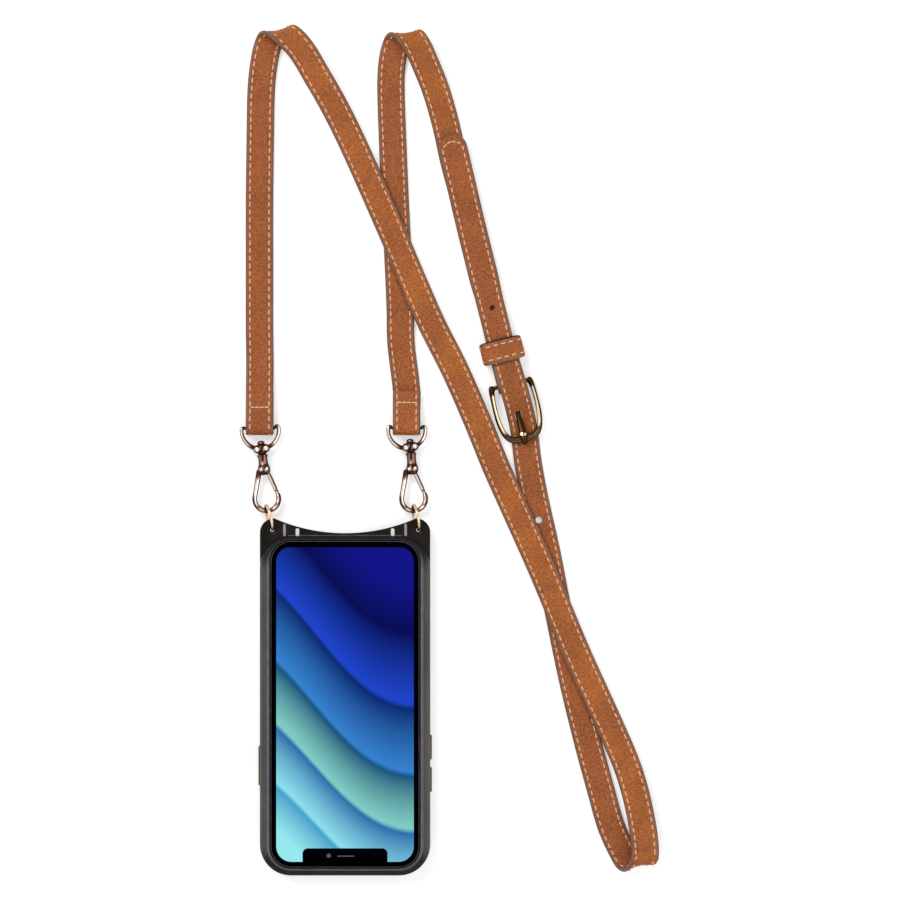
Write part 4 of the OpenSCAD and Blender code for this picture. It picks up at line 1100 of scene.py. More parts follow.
def settled(bm, turn, centre):
    """A shape turned about the origin, if asked, and moved to its place."""
    if turn:
        bmesh.ops.rotate(bm, cent=(0, 0, 0), matrix=turn, verts=bm.verts)
    bmesh.ops.translate(bm, vec=centre, verts=bm.verts)
    return bm


def dome(centre, size, turn):
    """A smooth round lump of three half sizes."""
    bm = bmesh.new()
    bmesh.ops.create_icosphere(bm, subdivisions=3, radius=1.0)
    bmesh.ops.scale(bm, vec=size, verts=bm.verts)
    return settled(bm, turn, centre)


def block(size, centre, rounding=0.0, turn=None, segments=3, only_upright=False):
    """A block whose edges, or only the upright ones, are rounded if asked."""
    bm = bmesh.new()
    bmesh.ops.create_cube(bm, size=1.0)
    bmesh.ops.scale(bm, vec=size, verts=bm.verts)
    edges = [e for e in bm.edges if not only_upright or abs(e.verts[0].co.z - e.verts[1].co.z) > 1e-6]
    if rounding:
        bmesh.ops.bevel(bm, geom=edges, offset=rounding, segments=segments, profile=0.5,
                        affect="EDGES", material=-1, offset_type="OFFSET")
    return settled(bm, turn, centre)


def joined(parts):
    """Several shapes as one; the first takes the others in."""
    whole = parts[0]
    for part in parts[1:]:
        mesh = bpy.data.meshes.new("part")
        part.to_mesh(mesh)
        part.free()
        whole.from_mesh(mesh)
        bpy.data.meshes.remove(mesh)
    return whole


def arc(centre, radius, start, end, count, place=lambda x, y: Vector((x, y, 0))):
    """Points of an arc, in degrees, through a function that puts them in space."""
    return [place(centre[0] + radius * cos(radians(start + (end - start) * i / count)),
                  centre[1] + radius * sin(radians(start + (end - start) * i / count)))
            for i in range(count + 1)]


# Keeper, buckle and prong

class POUCH_OT_keeper(bpy.types.Operator):
    """Sliding leather loop that holds the strap's tongue, with its two seams"""
    bl_idname = "pouch.keeper"
    bl_label = "Keeper"

    def execute(self, context):
        s = sizes()
        t = 1.4 * MM
        inner_w, inner_h = s.strap_w + 4.2 * MM, 2 * s.strap_t + 0.9 * MM
        w, h, r = inner_w / 2 + t / 2, inner_h / 2 + t / 2, 1.9 * MM
        middle = inner_h / 2 + t
        loop = []
        for sx, sz, a0 in ((1, 1, 0), (-1, 1, 90), (-1, -1, 180), (1, -1, 270)):
            for i in range(9):
                a = radians(a0 + 90 * i / 8)
                loop.append((sx * (w - r) + r * cos(a), sz * (h - r) + r * sin(a), cos(a), sin(a)))
        dense = []
        for i, p in enumerate(loop):
            q = loop[(i + 1) % len(loop)]
            n = max(1, ceil(hypot(q[0] - p[0], q[1] - p[1]) / (0.8 * MM)))
            dense += [tuple(p[j] + (q[j] - p[j]) * k / n for j in range(4)) for k in range(n)]
        runs = [0.0]
        for i, p in enumerate(dense):
            q = dense[(i + 1) % len(dense)]
            runs.append(runs[-1] + hypot(q[0] - p[0], q[1] - p[1]))
        half, paint, seam = KEEPER_L / 2, 0.95 * MM, 2.2 * MM
        rim = [(0.0, 0.0), (0.0, 0.3), (0.6 * paint, 0.44), (paint, 0.5), (seam - 0.35 * MM, 0.49),
               (seam, 0.42), (seam + 0.35 * MM, 0.49), (seam + 1 * MM, 0.5)]
        front = [(-half + a, n) for a, n in rim] + [(half - a, n) for a, n in reversed(rim)]
        section = front + [(a, -n) for a, n in reversed(front[1:-1])]
        count = len(dense)

        def lift(x, z):
            """How far the loop's front bows up over the strap."""
            return 0.25 * MM * (1 - (x / w) ** 2) if z > 0 else 0.0

        def place(i, k):
            x, z, nx, nz = dense[i % count]
            a, n = section[k % len(section)]
            a *= 1 - 0.1 * (abs(x) / w) ** 8
            return bk(-KEEPER_AT - a, middle + z + nz * n * t + lift(x, z), x + nx * n * t)

        def mapped(i, k):
            return (runs[i], section[k % len(section)][0])

        def finish_of(_, k):
            a0, a1 = section[k % len(section)][0], section[(k + 1) % len(section)][0]
            # Finish 2 is painted shade along the loop's top rim, where its inside would show
            if min(a0, a1) >= half - 0.6 * paint - 1e-6:
                return 2
            return 1 if min(abs(a0), abs(a1)) >= half - paint - 1e-6 else 0

        bm = lay_grid(count, len(section), place, mapped, round_rows=True, round_columns=True,
                      finish_of=finish_of)
        bmesh.ops.recalc_face_normals(bm, faces=bm.faces)
        add_piece("keeper_loop", bm, "keeper_loop",
                  [finish("smooth_leather"), finish("edge_paint"), finish("punched")], ["keeper"], sharp=40)
        bm = bmesh.new()
        shape = stitch_shape()
        number = int(runs[-1] / s.stitch_pitch)
        out = t / 2 + 0.06 * MM
        for row in (-1, 1):
            for i in range(number):
                d = (i + 0.5) * runs[-1] / number
                j = max(x for x in range(count) if runs[x] <= d)
                x, z, nx, nz = dense[j]
                x2, z2 = dense[(j + 1) % count][:2]
                share = (d - runs[j]) / (runs[j + 1] - runs[j])
                px, pz = x + (x2 - x) * share, z + (z2 - z) * share
                point = bk(-KEEPER_AT - row * (half - seam), middle + pz + nz * out + lift(px, pz),
                           px + nx * out)
                up = (ACROSS * nx + Vector((0, 0, nz))).normalized()
                way = (ACROSS * (x2 - x) + Vector((0, 0, z2 - z))).normalized()
                sew(bm, shape, point, way, up)
        bpy.data.meshes.remove(shape)
        add_piece("keeper_seams", bm, "keeper_loop", [finish("sewing_thread")],
                  sharp=0)
        return {"FINISHED"}


class POUCH_OT_buckle(bpy.types.Operator):
    """Brass buckle frame with bowed sides, and its prong"""
    bl_idname = "pouch.buckle"
    bl_label = "Buckle and prong"

    def execute(self, context):
        # Half of the frame: across, along and the bar's radius, in millimetres
        outline = [(8.9, 0.0, 1.25), (9.3, 1.2, 1.35), (9.5, 3.2, 1.25), (9.7, 6.5, 1.15),
                   (9.8, 10.0, 1.12), (9.75, 13.5, 1.15), (9.4, 17.2, 1.2), (8.7, 20.5, 1.25),
                   (7.6, 23.0, 1.35), (6.1, 24.7, 1.45), (4.2, 25.5, 1.55), (2.0, 25.75, 1.6),
                   (0.0, 25.8, 1.6)]
        spline = []
        for i in range(len(outline) - 1):
            p0, p1 = outline[max(i - 1, 0)], outline[i]
            p2, p3 = outline[i + 1], outline[min(i + 2, len(outline) - 1)]
            for k in range(4):
                t = k / 4
                spline.append(tuple(0.5 * (2 * p1[j] + (p2[j] - p0[j]) * t
                                           + (2 * p0[j] - 5 * p1[j] + 4 * p2[j] - p3[j]) * t**2
                                           + (3 * p1[j] - p0[j] - 3 * p2[j] + p3[j]) * t**3)
                                    for j in range(3)))
        spline.append(outline[-1])
        side = spline + [(-a, s, r) for a, s, r in reversed(spline[:-1])]
        up = Vector((0, 0, 1))
        brass = [finish("buckle_brass")]
        frame_bar = wire([bk(s * MM, BUCKLE_Z, a * MM) for a, s, _ in side], up,
                         [r * MM for _, _, r in side], around=20, flat=0.96)
        heel = wire([bk(0, BUCKLE_Z, a * MM) for a in (-8.9, -4, 0, 4, 8.9)], up, 1.0 * MM, around=18)
        parts = [frame_bar, heel]
        for s in (-1, 1):
            parts.append(dome(bk(0.35 * MM, BUCKLE_Z, s * 9.0 * MM), (1.5 * MM, 1.75 * MM, 1.3 * MM),
                              Matrix.Rotation(BUCKLE_TURN, 3, "Z")))
        bar = add_piece("buckle_frame_bar", joined(parts), "buckle", brass,
                        ["buckle_frame"], sharp=60)

        def in_buckle(point):
            """How far a point lies along the strap from the heel and across it, in millimetres."""
            p = Matrix.Rotation(-BUCKLE_TURN, 3, "Z") @ (point - bk(0, 0))
            return -p.y / MM, p.x / MM

        def frame_level(point, normal):
            # Painted light on the frame: a painted highlight along the top of the bars' inner sides,
            # painted shade on their outer edges, the heel corners and the front bar, with a faint painted
            # highlight on the front bar's top
            s, a = in_buckle(point)
            middle = next((o[0] for o in spline if o[1] > s), 0.0)
            front = step_up(0.25, 0.65, normal.z)
            highlight_share = 0.95 * step_up(0.45, 0.05, abs(a) - middle)
            highlight_share *= step_up(2.6, 3.8, s) * step_up(22.6, 20.2, s)
            return front * max(highlight_share, 0.1 * step_up(21, 24, s)) + 0.03

        tint(bar, frame_level)
        eye = wire(arc((0, 0), 1.65 * MM, 0, 345, 23, lambda x, z: bk(x, BUCKLE_Z + z)),
                   ACROSS, 0.6 * MM, around=12, closed=True, flat=1.6)
        rise = 1.5 * MM + 0.75 * MM
        start, front_bar, over, steps = 1.4, 25.8, 1.2, 64
        path, radii = [], []
        for i in range(steps + 1):
            s = (start + (front_bar + over - start) * i / steps) * MM
            share = s / (front_bar * MM)
            lift = rise * min(share, 1.0) ** 3.5 - 0.5 * MM * sin(pi * min(share, 1.0))
            if share > 1:
                lift -= 0.35 * MM * ((share - 1) / 0.045)
            path.append(bk(s, BUCKLE_Z + lift))
            radii.append((1.0 + 0.3 * min(share / 0.5, 1.0) + 0.45 * step_up(0.55, 0.9, share)) * MM
                         * (1.0 if share < 1 else 0.9))
        prong = wire(path, up, radii, around=28, flat=0.6)
        bar = add_piece("prong_bar", joined([prong, eye]), "prong", brass,
                        ["buckle_prong"], sharp=60)

        def prong_level(point, normal):
            # Two painted glints near the prong's tip; elsewhere nearly dark, with a faint painted highlight
            # where it faces up
            s, a = in_buckle(point)
            near = min(hypot(s - 23.4, a + 0.8), hypot(s - 23.9, a - 0.8))
            glint = step_up(0.8, 0.5, near)
            return max(glint, 0.03 * step_up(0.6, 0.98, normal.z)) + 0.01

        tint(bar, prong_level)
        return {"FINISHED"}


# Clips and jump rings

class Clip:
    """Places in a snap clip: u across it, v down from the D-ring, w up from its middle plane."""

    def __init__(self, x, boss, collar):
        self.hub = Vector((x, HUB_Y, CLIP_Z))
        self.turn = Matrix.Rotation(CLIP_LEAN, 3, "Z")
        self.boss, self.collar = boss, collar
        self.neck_l = hypot(collar[0] - boss[0], collar[1] - boss[1])

    def at(self, u, v, w=0.0):
        return self.hub + self.turn @ Vector((u * MM, -v * MM, w * MM))

    def hook_at(self, u, v, w=0.0):
        """The hook and gate hang a little to the side of the D-ring's middle."""
        return self.at(u + HOOK_SHIFT[0], v + HOOK_SHIFT[1], w)

    def seen(self, point):
        """The u, v and w of a point, in millimetres."""
        p = self.turn.inverted() @ (point - self.hub)
        return p.x / MM, -p.y / MM, p.z / MM

    def lump(self, u, v, w, size):
        return dome(self.at(u, v, w), tuple(x * MM for x in size), self.turn)

    def turned(self, profile):
        """A shape turned round the neck's line, with distances from the boss."""
        start, end = self.at(*self.boss), self.at(*self.collar)
        return turned(profile, start, end - start)


# Clip sizes and places in u and v, in millimetres
DRING_R = 8.55
HOOK_SHIFT = (0.8, -0.7)
HOOK_TURN = (-0.56, 22.3)
HOOK_R = 5.55
LIMB_ANGLE = 198.015
GATE_AT = (1.612, 10.04)
NOSE_AT = (4.955, 21.33)
LOBE_APART, DISC_APART = 2.05, 1.45


def disc_level(u, v, centre, apart, radius):
    """Two painted highlight discs side by side."""
    near = min(hypot(u - centre[0] - apart, v - centre[1]), hypot(u - centre[0] + apart, v - centre[1]))
    return step_up(radius * 1.12, radius * 0.86, near)


def hook_level(clip, point, normal):
    """Painted light of a hook: painted shade on the neck with a painted copper U highlight, two painted
    highlight discs on the collar, and painted highlights on the inner sides of its wire and low on its
    curve.
    """
    u, v, _ = clip.seen(point)
    # Only points that face up take the painted highlights
    front = step_up(0.6, 0.88, normal.z)
    if v < clip.collar[1] + 2.4:
        share = (v - clip.boss[1]) / (clip.collar[1] - clip.boss[1])
        middle = clip.boss[0] + (clip.collar[0] - clip.boss[0]) * share
        off = abs(u - middle)
        sides = step_up(0.45, 1.0, off) * step_up(2.3, 1.7, off)
        foot = step_up(0.6, 0.7, share) * step_up(2.3, 1.7, off)
        neck = 0.5 * max(sides, foot) * step_up(0.3, 0.36, share) * step_up(0.8, 0.76, share)
        return front * max(neck, disc_level(u, v, clip.collar, DISC_APART, 0.95)) + 0.04
    u, v = u - HOOK_SHIFT[0] - HOOK_TURN[0], v - HOOK_SHIFT[1] - HOOK_TURN[1]
    if v < HOOK_R * sin(radians(LIMB_ANGLE)):
        out = -HOOK_R - 0.05 * (v + 1.7) - u
        top = step_up(-11.2, -8.5, v)
    else:
        out = hypot(u, v) - HOOK_R
        top = 1.0
    angle = abs(degrees(atan2(u, v)))
    low = step_up(62, 40, angle) * step_up(14, 26, angle) * step_up(0.75, 0.35, abs(out))
    inner = step_up(0.3, -0.1, out) * step_up(48, 66, angle)
    return front * max(0.88 * top * inner, 0.7 * low) + 0.06


def gate_level(clip, point, normal):
    """Painted light of a gate: a painted highlight along it, painted shade down its outer edge and at its
    tip's notch.
    """
    u, v, _ = clip.seen(point)
    u, v = u - HOOK_SHIFT[0] - GATE_AT[0], v - HOOK_SHIFT[1] - GATE_AT[1]
    way = (NOSE_AT[0] - GATE_AT[0], NOSE_AT[1] - GATE_AT[1])
    reach = hypot(*way)
    along, off = (u * way[0] + v * way[1]) / reach, (u * way[1] - v * way[0]) / reach
    notch = 1 - step_up(9.0, 9.3, along) * step_up(9.9, 9.6, along)
    highlight_share = step_up(0.4, 0.1, off) * notch * step_up(0.2, 1.4, along)
    return 0.92 * step_up(0.4, 0.75, normal.z) * highlight_share + 0.06


def bronze_piece(name, bm, body, level, replaced=(), cutters=()):
    """A piece of a clip in bronze, with its share of painted light at each point."""
    piece = add_piece(name, bm, body, [finish("bronze_with_highlights")], replaced, sharp=50)
    if cutters:
        cut(piece, cutters)
    tint(piece, level)


class POUCH_OT_clips(bpy.types.Operator):
    """D-rings with their bosses, swivels, snap hooks, gates, pins and springs"""
    bl_idname = "pouch.clips"
    bl_label = "Snap clips"

    def execute(self, context):
        up = Vector((0, 0, 1))
        for side, hub_x, letter, boss, collar, rise, tilt in (
                ("left", LEFT_HUB_X, "l", (1.14, -1.53), (0.95, 7.85), (0.25 * MM, 0.6 * MM), 4),
                ("right", RIGHT_HUB_X, "r", (2.14, -2.29), (1.54, 7.72), (0.1 * MM, 0.8 * MM), 0)):
            clip = Clip(hub_x, boss, collar)
            half, arm, corner = DRING_R * MM, 1.5 * MM, 0.9 * MM
            arm_y = BAR_Y - arm
            middle = Vector((hub_x + rise[0], arm_y + rise[1], CLIP_Z))
            turn = Matrix.Rotation(radians(tilt), 3, "Z")

            def spot(x, y):
                return middle + turn @ Vector((x, y - arm_y, 0))

            def ring_level(point, normal):
                # Painted light on the D-ring: two painted highlight discs on the boss's lobes, a painted
                # highlight band along the ring's outer side, painted shade elsewhere
                u, v, _ = clip.seen(point)
                x, y, _ = (turn.inverted() @ (point - middle)) / MM
                out = hypot(x, min(y, 0.0)) - DRING_R
                near = hypot(u - boss[0], v - boss[1])
                if near < 4.3:
                    return step_up(0.2, 0.6, normal.z) * disc_level(u, v, boss, LOBE_APART, 1.25) + 0.03
                bright = step_up(-0.45, -0.1, out) * step_up(0.8, 0.45, out) * step_up(4.5, 7, near)
                return 0.95 * bright * step_up(0.3, 0.6, normal.z) + 0.06

            path = ([Vector((hub_x + half * i / 4, BAR_Y, CLIP_Z)) for i in range(-3, 4)]
                    + arc((half - corner, BAR_Y - corner), corner, 90, 0, 4, spot)
                    + arc((0, arm_y), half, 0, -180, 36, spot)
                    + arc((-half + corner, BAR_Y - corner), corner, 180, 90, 4, spot))
            radii = [(0.9 + 0.25 * max(0.0, (arm_y - p.y) / half - 0.35)) * MM for p in path]
            radii[:7] = [0.72 * MM] * 7
            ring = wire(path, up, radii, closed=True)
            lobes = [clip.lump(boss[0] + u, boss[1], 0.0, (1.85, 2.0, 3.0))
                     for u in (-LOBE_APART, LOBE_APART)]
            core = clip.turned([(-2.3, 0), (-2.3, 1.4), (-2.0, 1.9), (-1.1, 2.2), (0, 2.3), (1.3, 2.3),
                                (2.3, 2.1), (2.65, 1.7), (2.65, 0)])
            bronze_piece("dring_" + side + "_loop", joined([ring, core] + lobes), "dring_" + letter,
                         ring_level, ["dring_" + side])

            rivet = clip.turned([(-3.7, 0), (-3.68, 0.55), (-3.5, 1.1), (-3.2, 1.5), (-2.8, 1.7),
                                 (-2.4, 1.75), (-2.3, 1.5), (-2.3, 1.2), (6.2, 1.2), (6.2, 0)])
            # The rivet takes a painted highlight where it faces up
            bronze_piece("swivel_" + side, rivet, "snap_" + letter,
                         lambda point, normal: 0.35 * step_up(0.5, 0.95, normal.z),
                         ["swivel_rivet_" + side])

            foot = clip.neck_l
            neck = clip.turned([(2.7, 0), (2.7, 2.2), (2.95, 2.45), (3.4, 2.5), (3.8, 2.3), (4.3, 2.15),
                                (5.2, 2.12), (foot - 2.6, 2.2), (foot - 2.0, 2.35), (foot - 1.3, 2.6),
                                (foot - 0.6, 2.85), (foot + 0.3, 2.95), (foot + 1.3, 2.85),
                                (foot + 2.1, 2.5), (foot + 2.6, 2.0), (foot + 2.8, 1.2), (foot + 2.8, 0)])
            slot = block((6.2 * MM, 5.45 * MM, 2.1 * MM), clip.hook_at(0.362 + 3.1, GATE_AT[1] + 1.475, 0),
                         0.15 * MM, clip.turn)
            bronze_piece("hook_" + side + "_knuckle", neck, "snap_" + letter,
                         lambda point, normal: hook_level(clip, point, normal),
                         cutters=[cutter_from(slot, finish("bronze_with_highlights"))])

            parts = [clip.lump(collar[0] + u, collar[1], 0.35, (1.45, 1.6, 2.75))
                     for u in (-DISC_APART, DISC_APART)]
            a = radians(LIMB_ANGLE)
            limb_end = (HOOK_TURN[0] + HOOK_R * cos(a), HOOK_TURN[1] + HOOK_R * sin(a))
            start = (-2.325, 9.62)
            path = [clip.hook_at(start[0] + (limb_end[0] - start[0]) * i / 10,
                                 start[1] + (limb_end[1] - start[1]) * i / 10) for i in range(10)]
            path += arc(HOOK_TURN, HOOK_R, LIMB_ANGLE, -10, 40, clip.hook_at)
            radii = []
            for i in range(len(path)):
                share = i / (len(path) - 1)
                low = max(0.0, 1 - abs(share - 0.62) / 0.14)
                radii.append((1.14 + 0.2 * max(0.0, 1 - share / 0.12) - 0.16 * low) * MM)
            parts.append(wire(path, up, radii, around=20))
            bronze_piece("hook_" + side + "_body", joined(parts), "snap_" + letter,
                         lambda point, normal: hook_level(clip, point, normal), ["hook_" + side])

            way = Vector((NOSE_AT[0] - GATE_AT[0], NOSE_AT[1] - GATE_AT[1]))
            reach = way.length
            way /= reach
            bars = [(0.3, 0.75), (1.2, 0.85)] + [(d, 0.95) for d in (2.4, 3.2, 4, 5, 6, 7, 8, 8.8)]
            bars += [(9.15, 0.85), (9.3, 0.78), (9.6, 0.78), (9.8, 0.88), (reach - 0.2 - 0.85, 0.75)]
            path = [clip.hook_at(GATE_AT[0] + way.x * d, GATE_AT[1] + way.y * d) for d, _ in bars]
            gate = wire(path, up, [r * MM for _, r in bars], around=20)
            eye = turned([(-0.75, 0), (-0.75, 0.8), (-0.6, 0.95), (0.6, 0.95), (0.75, 0.8), (0.75, 0)],
                         clip.hook_at(*GATE_AT), up, 24)
            bronze_piece("gate_" + side + "_bar", joined([gate, eye]), "gate_" + letter,
                         lambda point, normal: gate_level(clip, point, normal), ["gate_" + side])
            pin = turned([(-2.45, 0), (-2.4, 0.3), (-2.25, 0.5), (2.3, 0.5), (2.5, 0.36), (2.55, 0)],
                         clip.hook_at(*GATE_AT), up, 20)
            # The pin takes a painted highlight that grows as it faces up
            bronze_piece("gate_pin_" + side + "_rod", pin, "snap_" + letter,
                         lambda point, normal: 0.3 * normal.z, ["gate_pin_" + side])
            recoat("gate_spring_" + side, "spring_steel")
        return {"FINISHED"}


class POUCH_OT_rings(bpy.types.Operator):
    """Two pale gold jump rings, each with its closed joint"""
    bl_idname = "pouch.rings"
    bl_label = "Jump rings"

    def execute(self, context):
        r, wire_r, ring_z = 5.9 * MM, 0.65 * MM, 7.4 * MM
        for side, sign, angle, letter in (("left", -1, 14, "l"), ("right", 1, 10, "r")):
            a = radians(angle)
            centre = Vector((sign * EAR_X - r * sin(a), EAR_HOLE_Y + r * cos(a), ring_z))
            along = Vector((-sin(a), cos(a), 0))
            normal = Matrix.Rotation(radians(10.5), 3, along) @ Vector((cos(a), sin(a), 0))
            upright = along.cross(normal)
            count = 72
            path, radii = [], []
            for i in range(count):
                t = 2 * pi * i / count
                path.append(centre + along * r * cos(t) + upright * r * sin(t))
                near = abs(i - 62)
                radii.append(wire_r * (0.86 if near == 0 else 0.97 if near == 1 else 1.0))
            ring = wire(path, normal, radii, closed=True, around=16)
            add_piece("ring_" + side + "_wire", ring, "ring_" + letter, [finish("pale_gold")],
                      ["ring_" + side], sharp=0)
        return {"FINISHED"}


# Case, pads and phone

BAY_W, BAY_H, BAY_Y, BAY_R = 68.9 * MM, 150.4 * MM, 1.0 * MM, 9.9 * MM
EAR_RISE, SADDLE_RISE, EAR_Z, EAR_T = 8.6 * MM, 1.8 * MM, 6.2 * MM, 2.4 * MM
EAR_X, EAR_HOLE_Y = 33.5 * MM, 80.85 * MM


def rounded_spot(w, h, r, i, count):
    """Point i of a rounded rectangle with count / 4 points round each corner."""
    quarter = count // 4
    corner, step = divmod(i % count, quarter)
    a = pi / 2 * (corner + step / (quarter - 1))
    sx, sy = ((1, 1), (-1, 1), (-1, -1), (1, -1))[corner]
    return Vector((sx * (w / 2 - r) + r * cos(a), sy * (h / 2 - r) + r * sin(a), 0))


class POUCH_OT_case(bpy.types.Operator):
    """Black case: tray with rounded edges and an inner lip with a painted highlight, ear plate with its
    ribs
    """
    bl_idname = "pouch.case"
    bl_label = "Case"

    def execute(self, context):
        count = 112
        profile = [(None, 1.5, 0.0), (None, 0.7, 0.2), (None, 0.2, 0.7), (None, 0.0, 1.5), (0.0, 0, 5.0),
                   (0.0, 0, 8.7), (0.02, 0, 9.4), (0.08, 0, 9.95), (0.18, 0, 10.38), (0.3, 0, 10.56),
                   (0.42, 0, 10.6), (0.54, 0, 10.5), (0.62, 0, 10.3), (0.66, 0, 10.4), (0.73, 0, 10.58),
                   (0.82, 0, 10.6), (0.91, 0, 10.5), (0.965, 0, 10.2), (1.0, 0, 9.7), (1.0, 0, 5.0),
                   (1.0, 0, 1.6)]
        lip = next(k for k, p in enumerate(profile) if p[0] == 0.66)

        def place(i, k):
            share, inset, z = profile[k]
            if share is None:
                d = inset * MM
                p = rounded_spot(CASE_W - 2 * d, CASE_H - 2 * d, CASE_R - d, i, count)
            else:
                a = rounded_spot(CASE_W, CASE_H, CASE_R, i, count)
                b = rounded_spot(BAY_W, BAY_H, BAY_R, i, count) + Vector((0, BAY_Y, 0))
                p = a.lerp(b, share)
            p.z = z * MM
            return p

        bm = lay_grid(count, len(profile) - 1, place, round_rows=True,
                      finish_of=lambda i, k: 1 if lip <= k < lip + 4 else 0)
        close_ends(bm)
        black = finish("soft_black")
        tray = add_piece("case_tray", bm, "case", [black, finish("painted_lip_sheen")], ["case_shell"])
        inner = BAY_W / 2 + 2.3 * MM
        openings = [block((6 * MM, (l + 0.6) * MM, 4.0 * MM), Vector((sign * inner, -y * MM, PAD_Z)),
                          0.5 * MM) for sign, y, l in (*PADS.values(), SWITCH_WINDOW)]
        openings.append(block(*CAMERA_WINDOW, 7 * MM, segments=10, only_upright=True))
        openings.append(block(*CHARGING_SLOT, 1.2 * MM))
        cut(tray, [cutter_from(opening, black) for opening in openings])

        half, rise, r = CASE_W / 2, EAR_RISE, 0.75 * EAR_RISE
        top, low = CASE_H / 2, CASE_H / 2 - 17.7 * MM
        wall_x = BAY_W / 2 + 0.3 * MM
        bay_r = BAY_R + 0.3 * MM
        bay_top = BAY_H / 2 + BAY_Y + 0.3 * MM
        saddle_half = 0.97 * EAR_X
        depth = rise - SADDLE_RISE
        saddle_r = (saddle_half**2 + depth**2) / (2 * depth)
        spread = asin(saddle_half / saddle_r)
        rim = [Vector((-half + 0.04 * MM, low, 0)), Vector((-half, top, 0))]
        rim += arc((-half + r, top + rise - r), r, 180, 90, 10)
        for i in range(49):
            a = -spread + 2 * spread * i / 48
            rim.append(Vector((saddle_r * sin(a), top + SADDLE_RISE + saddle_r * (1 - cos(a)), 0)))
        rim += arc((half - r, top + rise - r), r, 90, 0, 10)
        rim += [Vector((half, top, 0)), Vector((half - 0.04 * MM, low, 0)), Vector((wall_x, low, 0))]
        rim += arc((wall_x - bay_r, bay_top - bay_r), bay_r, 0, 90, 12)
        rim += arc((bay_r - wall_x, bay_top - bay_r), bay_r, 90, 180, 12)
        rim += [Vector((-wall_x, low, 0))]
        bm = bmesh.new()
        face = bm.faces.new([bm.verts.new(p + Vector((0, 0, EAR_Z))) for p in rim])
        raised = bmesh.ops.extrude_face_region(bm, geom=[face])
        bmesh.ops.translate(bm, vec=(0, 0, EAR_T), verts=[g for g in raised["geom"]
                                                         if isinstance(g, bmesh.types.BMVert)])
        bmesh.ops.recalc_face_normals(bm, faces=bm.faces)
        flat_edges = [e for e in bm.edges if abs(e.verts[0].co.z - e.verts[1].co.z) < 1e-6]
        bmesh.ops.bevel(bm, geom=flat_edges, offset=0.45 * MM, segments=4, profile=0.5, affect="EDGES",
                        material=-1, offset_type="OFFSET", clamp_overlap=True)
        plate = add_piece("ear_plate", bm, "case", [finish("glossy_black")])
        up = Vector((0, 0, 1))
        hole = [(-1.0, 0), (-1.0, 2.7), (0.0, 2.2), (0.2, 1.65), (0.6, 1.2), (1.2, 0.88), (1.8, 1.2),
                (2.2, 1.65), (2.4, 2.2), (3.4, 2.7), (3.4, 0)]
        holes = [turned(hole, Vector((sign * EAR_X, EAR_HOLE_Y, EAR_Z)), up) for sign in (-1, 1)]
        cut(plate, [cutter_from(bm, finish("glossy_black")) for bm in holes])
        parts = []
        for sign in (-1, 1):
            for x, w, l in ((27.8, 1.4, 6.0), (21.85, 1.9, 3.85)):
                y = CASE_H / 2 + l * MM / 2 + 0.25 * MM
                parts.append(block((w * MM, l * MM, 1.6 * MM),
                                   Vector((sign * x * MM, y, EAR_Z + EAR_T - 0.15 * MM)),
                                   0.49 * min(w, 1.6) * MM, segments=4))
        add_piece("ear_ribs", joined(parts), "case", [finish("rib_grey")])
        bead_line = [(-26.2, 0.3), (-26, 0.34), (-13, 0.36), (0, 0.36), (13, 0.36), (26, 0.34), (26.2, 0.3)]
        bead = wire([Vector((x * MM, 78.3 * MM, EAR_Z + EAR_T)) for x, _ in bead_line], up,
                    [r * MM for _, r in bead_line], around=12)
        add_piece("ear_bead", bead, "case", [finish("bead_sheen")])
        return {"FINISHED"}


class POUCH_OT_pads(bpy.types.Operator):
    """Three soft pads over the phone's side keys"""
    bl_idname = "pouch.pads"
    bl_label = "Key pads"

    def execute(self, context):
        low, high = 34.75 * MM, 39.85 * MM
        for key, (sign, y, l) in PADS.items():
            bm = block((high - low, l * MM, 3.4 * MM), Vector((sign * (low + high) / 2, -y * MM, PAD_Z)),
                       0.6 * MM, segments=4)
            add_piece(key + "_pad_body", bm, key + "_key_pad", [finish("soft_black")],
                      [key + "_pad"])
        return {"FINISHED"}


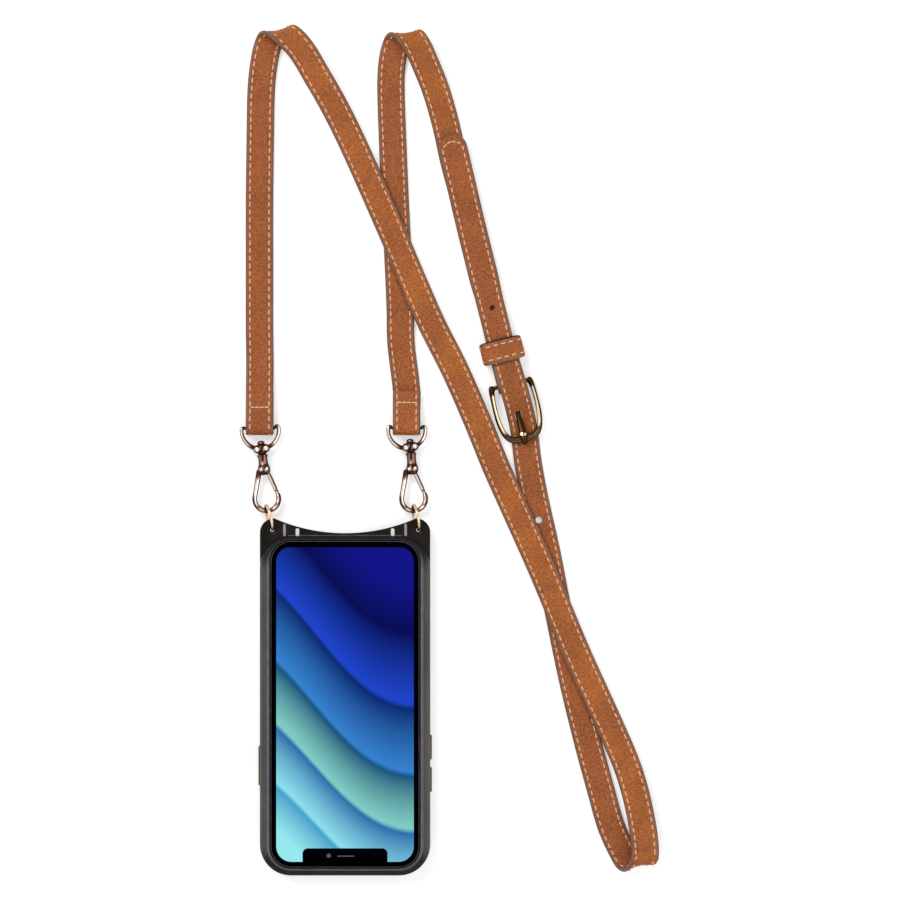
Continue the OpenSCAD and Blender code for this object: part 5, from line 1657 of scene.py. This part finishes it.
class POUCH_OT_phone(bpy.types.Operator):
    """Phone: finishes for its solids, and the lens and slit in its notch"""
    bl_idname = "pouch.phone"
    bl_label = "Phone"

    def execute(self, context):
        for node, name in (("phone_frame", "phone_metal"), ("phone_back", "glossy_black"),
                           ("phone_glass", "bezel_glass"), ("phone_display", "display"),
                           ("phone_camera", "glossy_black"), ("phone_power_key", "phone_metal"),
                           ("phone_volume_keys", "phone_metal")):
            recoat(node, name)
        top = 9.5 * MM
        up = Vector((0, 0, 1))
        lens = turned([(-0.1, 0), (-0.1, 1.0), (0.02, 1.0), (0.05, 0.8), (0.03, 0.55), (0.06, 0.3),
                       (0.07, 0)], Vector((-7.5 * MM, -68.45 * MM, top)), up, 28)
        add_piece("phone_front_lens", lens, "phone", [finish("lens_glass")])
        slit = wire([Vector((x * MM, -68.7 * MM, top - 0.1 * MM)) for x in (-3.3, -1, 1, 4.0)], up,
                    0.32 * MM, around=12, flat=0.5)
        add_piece("phone_speaker_slit", slit, "phone", [finish("speaker_mesh")])
        count = 112
        edge = [rounded_spot(67.9 * MM, 149.4 * MM, 9.4 * MM, i, count) + Vector((0, BAY_Y, top - 0.1 * MM))
                for i in range(count)]
        add_piece("phone_rim", wire(edge, up, 0.2 * MM, around=10, closed=True), "phone",
                  [finish("rim_grey")])
        return {"FINISHED"}


class POUCH_PT_panel(bpy.types.Panel):
    bl_idname = "POUCH_PT_panel"
    bl_label = "Phone pouch"
    bl_space_type = "VIEW_3D"
    bl_region_type = "UI"
    bl_category = "Pouch"

    def draw(self, context):
        layout = self.layout
        for step in STEPS:
            layout.operator(step.bl_idname)
        for title, group in (("Sizes", sizes()), ("Colours", colours())):
            box = layout.box()
            box.label(text=title)
            for key in group.bl_rna.properties.keys():
                if key not in ("rna_type", "name"):
                    box.prop(group, key)


STEPS = (POUCH_OT_stage, POUCH_OT_straps, POUCH_OT_keeper, POUCH_OT_buckle, POUCH_OT_clips,
         POUCH_OT_rings, POUCH_OT_case, POUCH_OT_pads, POUCH_OT_phone)
CLASSES = (PouchSizes, PouchColours) + STEPS + (POUCH_PT_panel,)


def register():
    for item in CLASSES:
        bpy.utils.register_class(item)
    bpy.types.Scene.pouch_sizes = PointerProperty(type=PouchSizes)
    bpy.types.Scene.pouch_colours = PointerProperty(type=PouchColours)


def unregister():
    del bpy.types.Scene.pouch_sizes
    del bpy.types.Scene.pouch_colours
    for item in reversed(CLASSES):
        bpy.utils.unregister_class(item)


def main():
    register()
    for step in STEPS:
        group, name = step.bl_idname.split(".")
        getattr(getattr(bpy.ops, group), name)()
    bpy.context.view_layer.update()


if __name__ == "__main__":
    main()
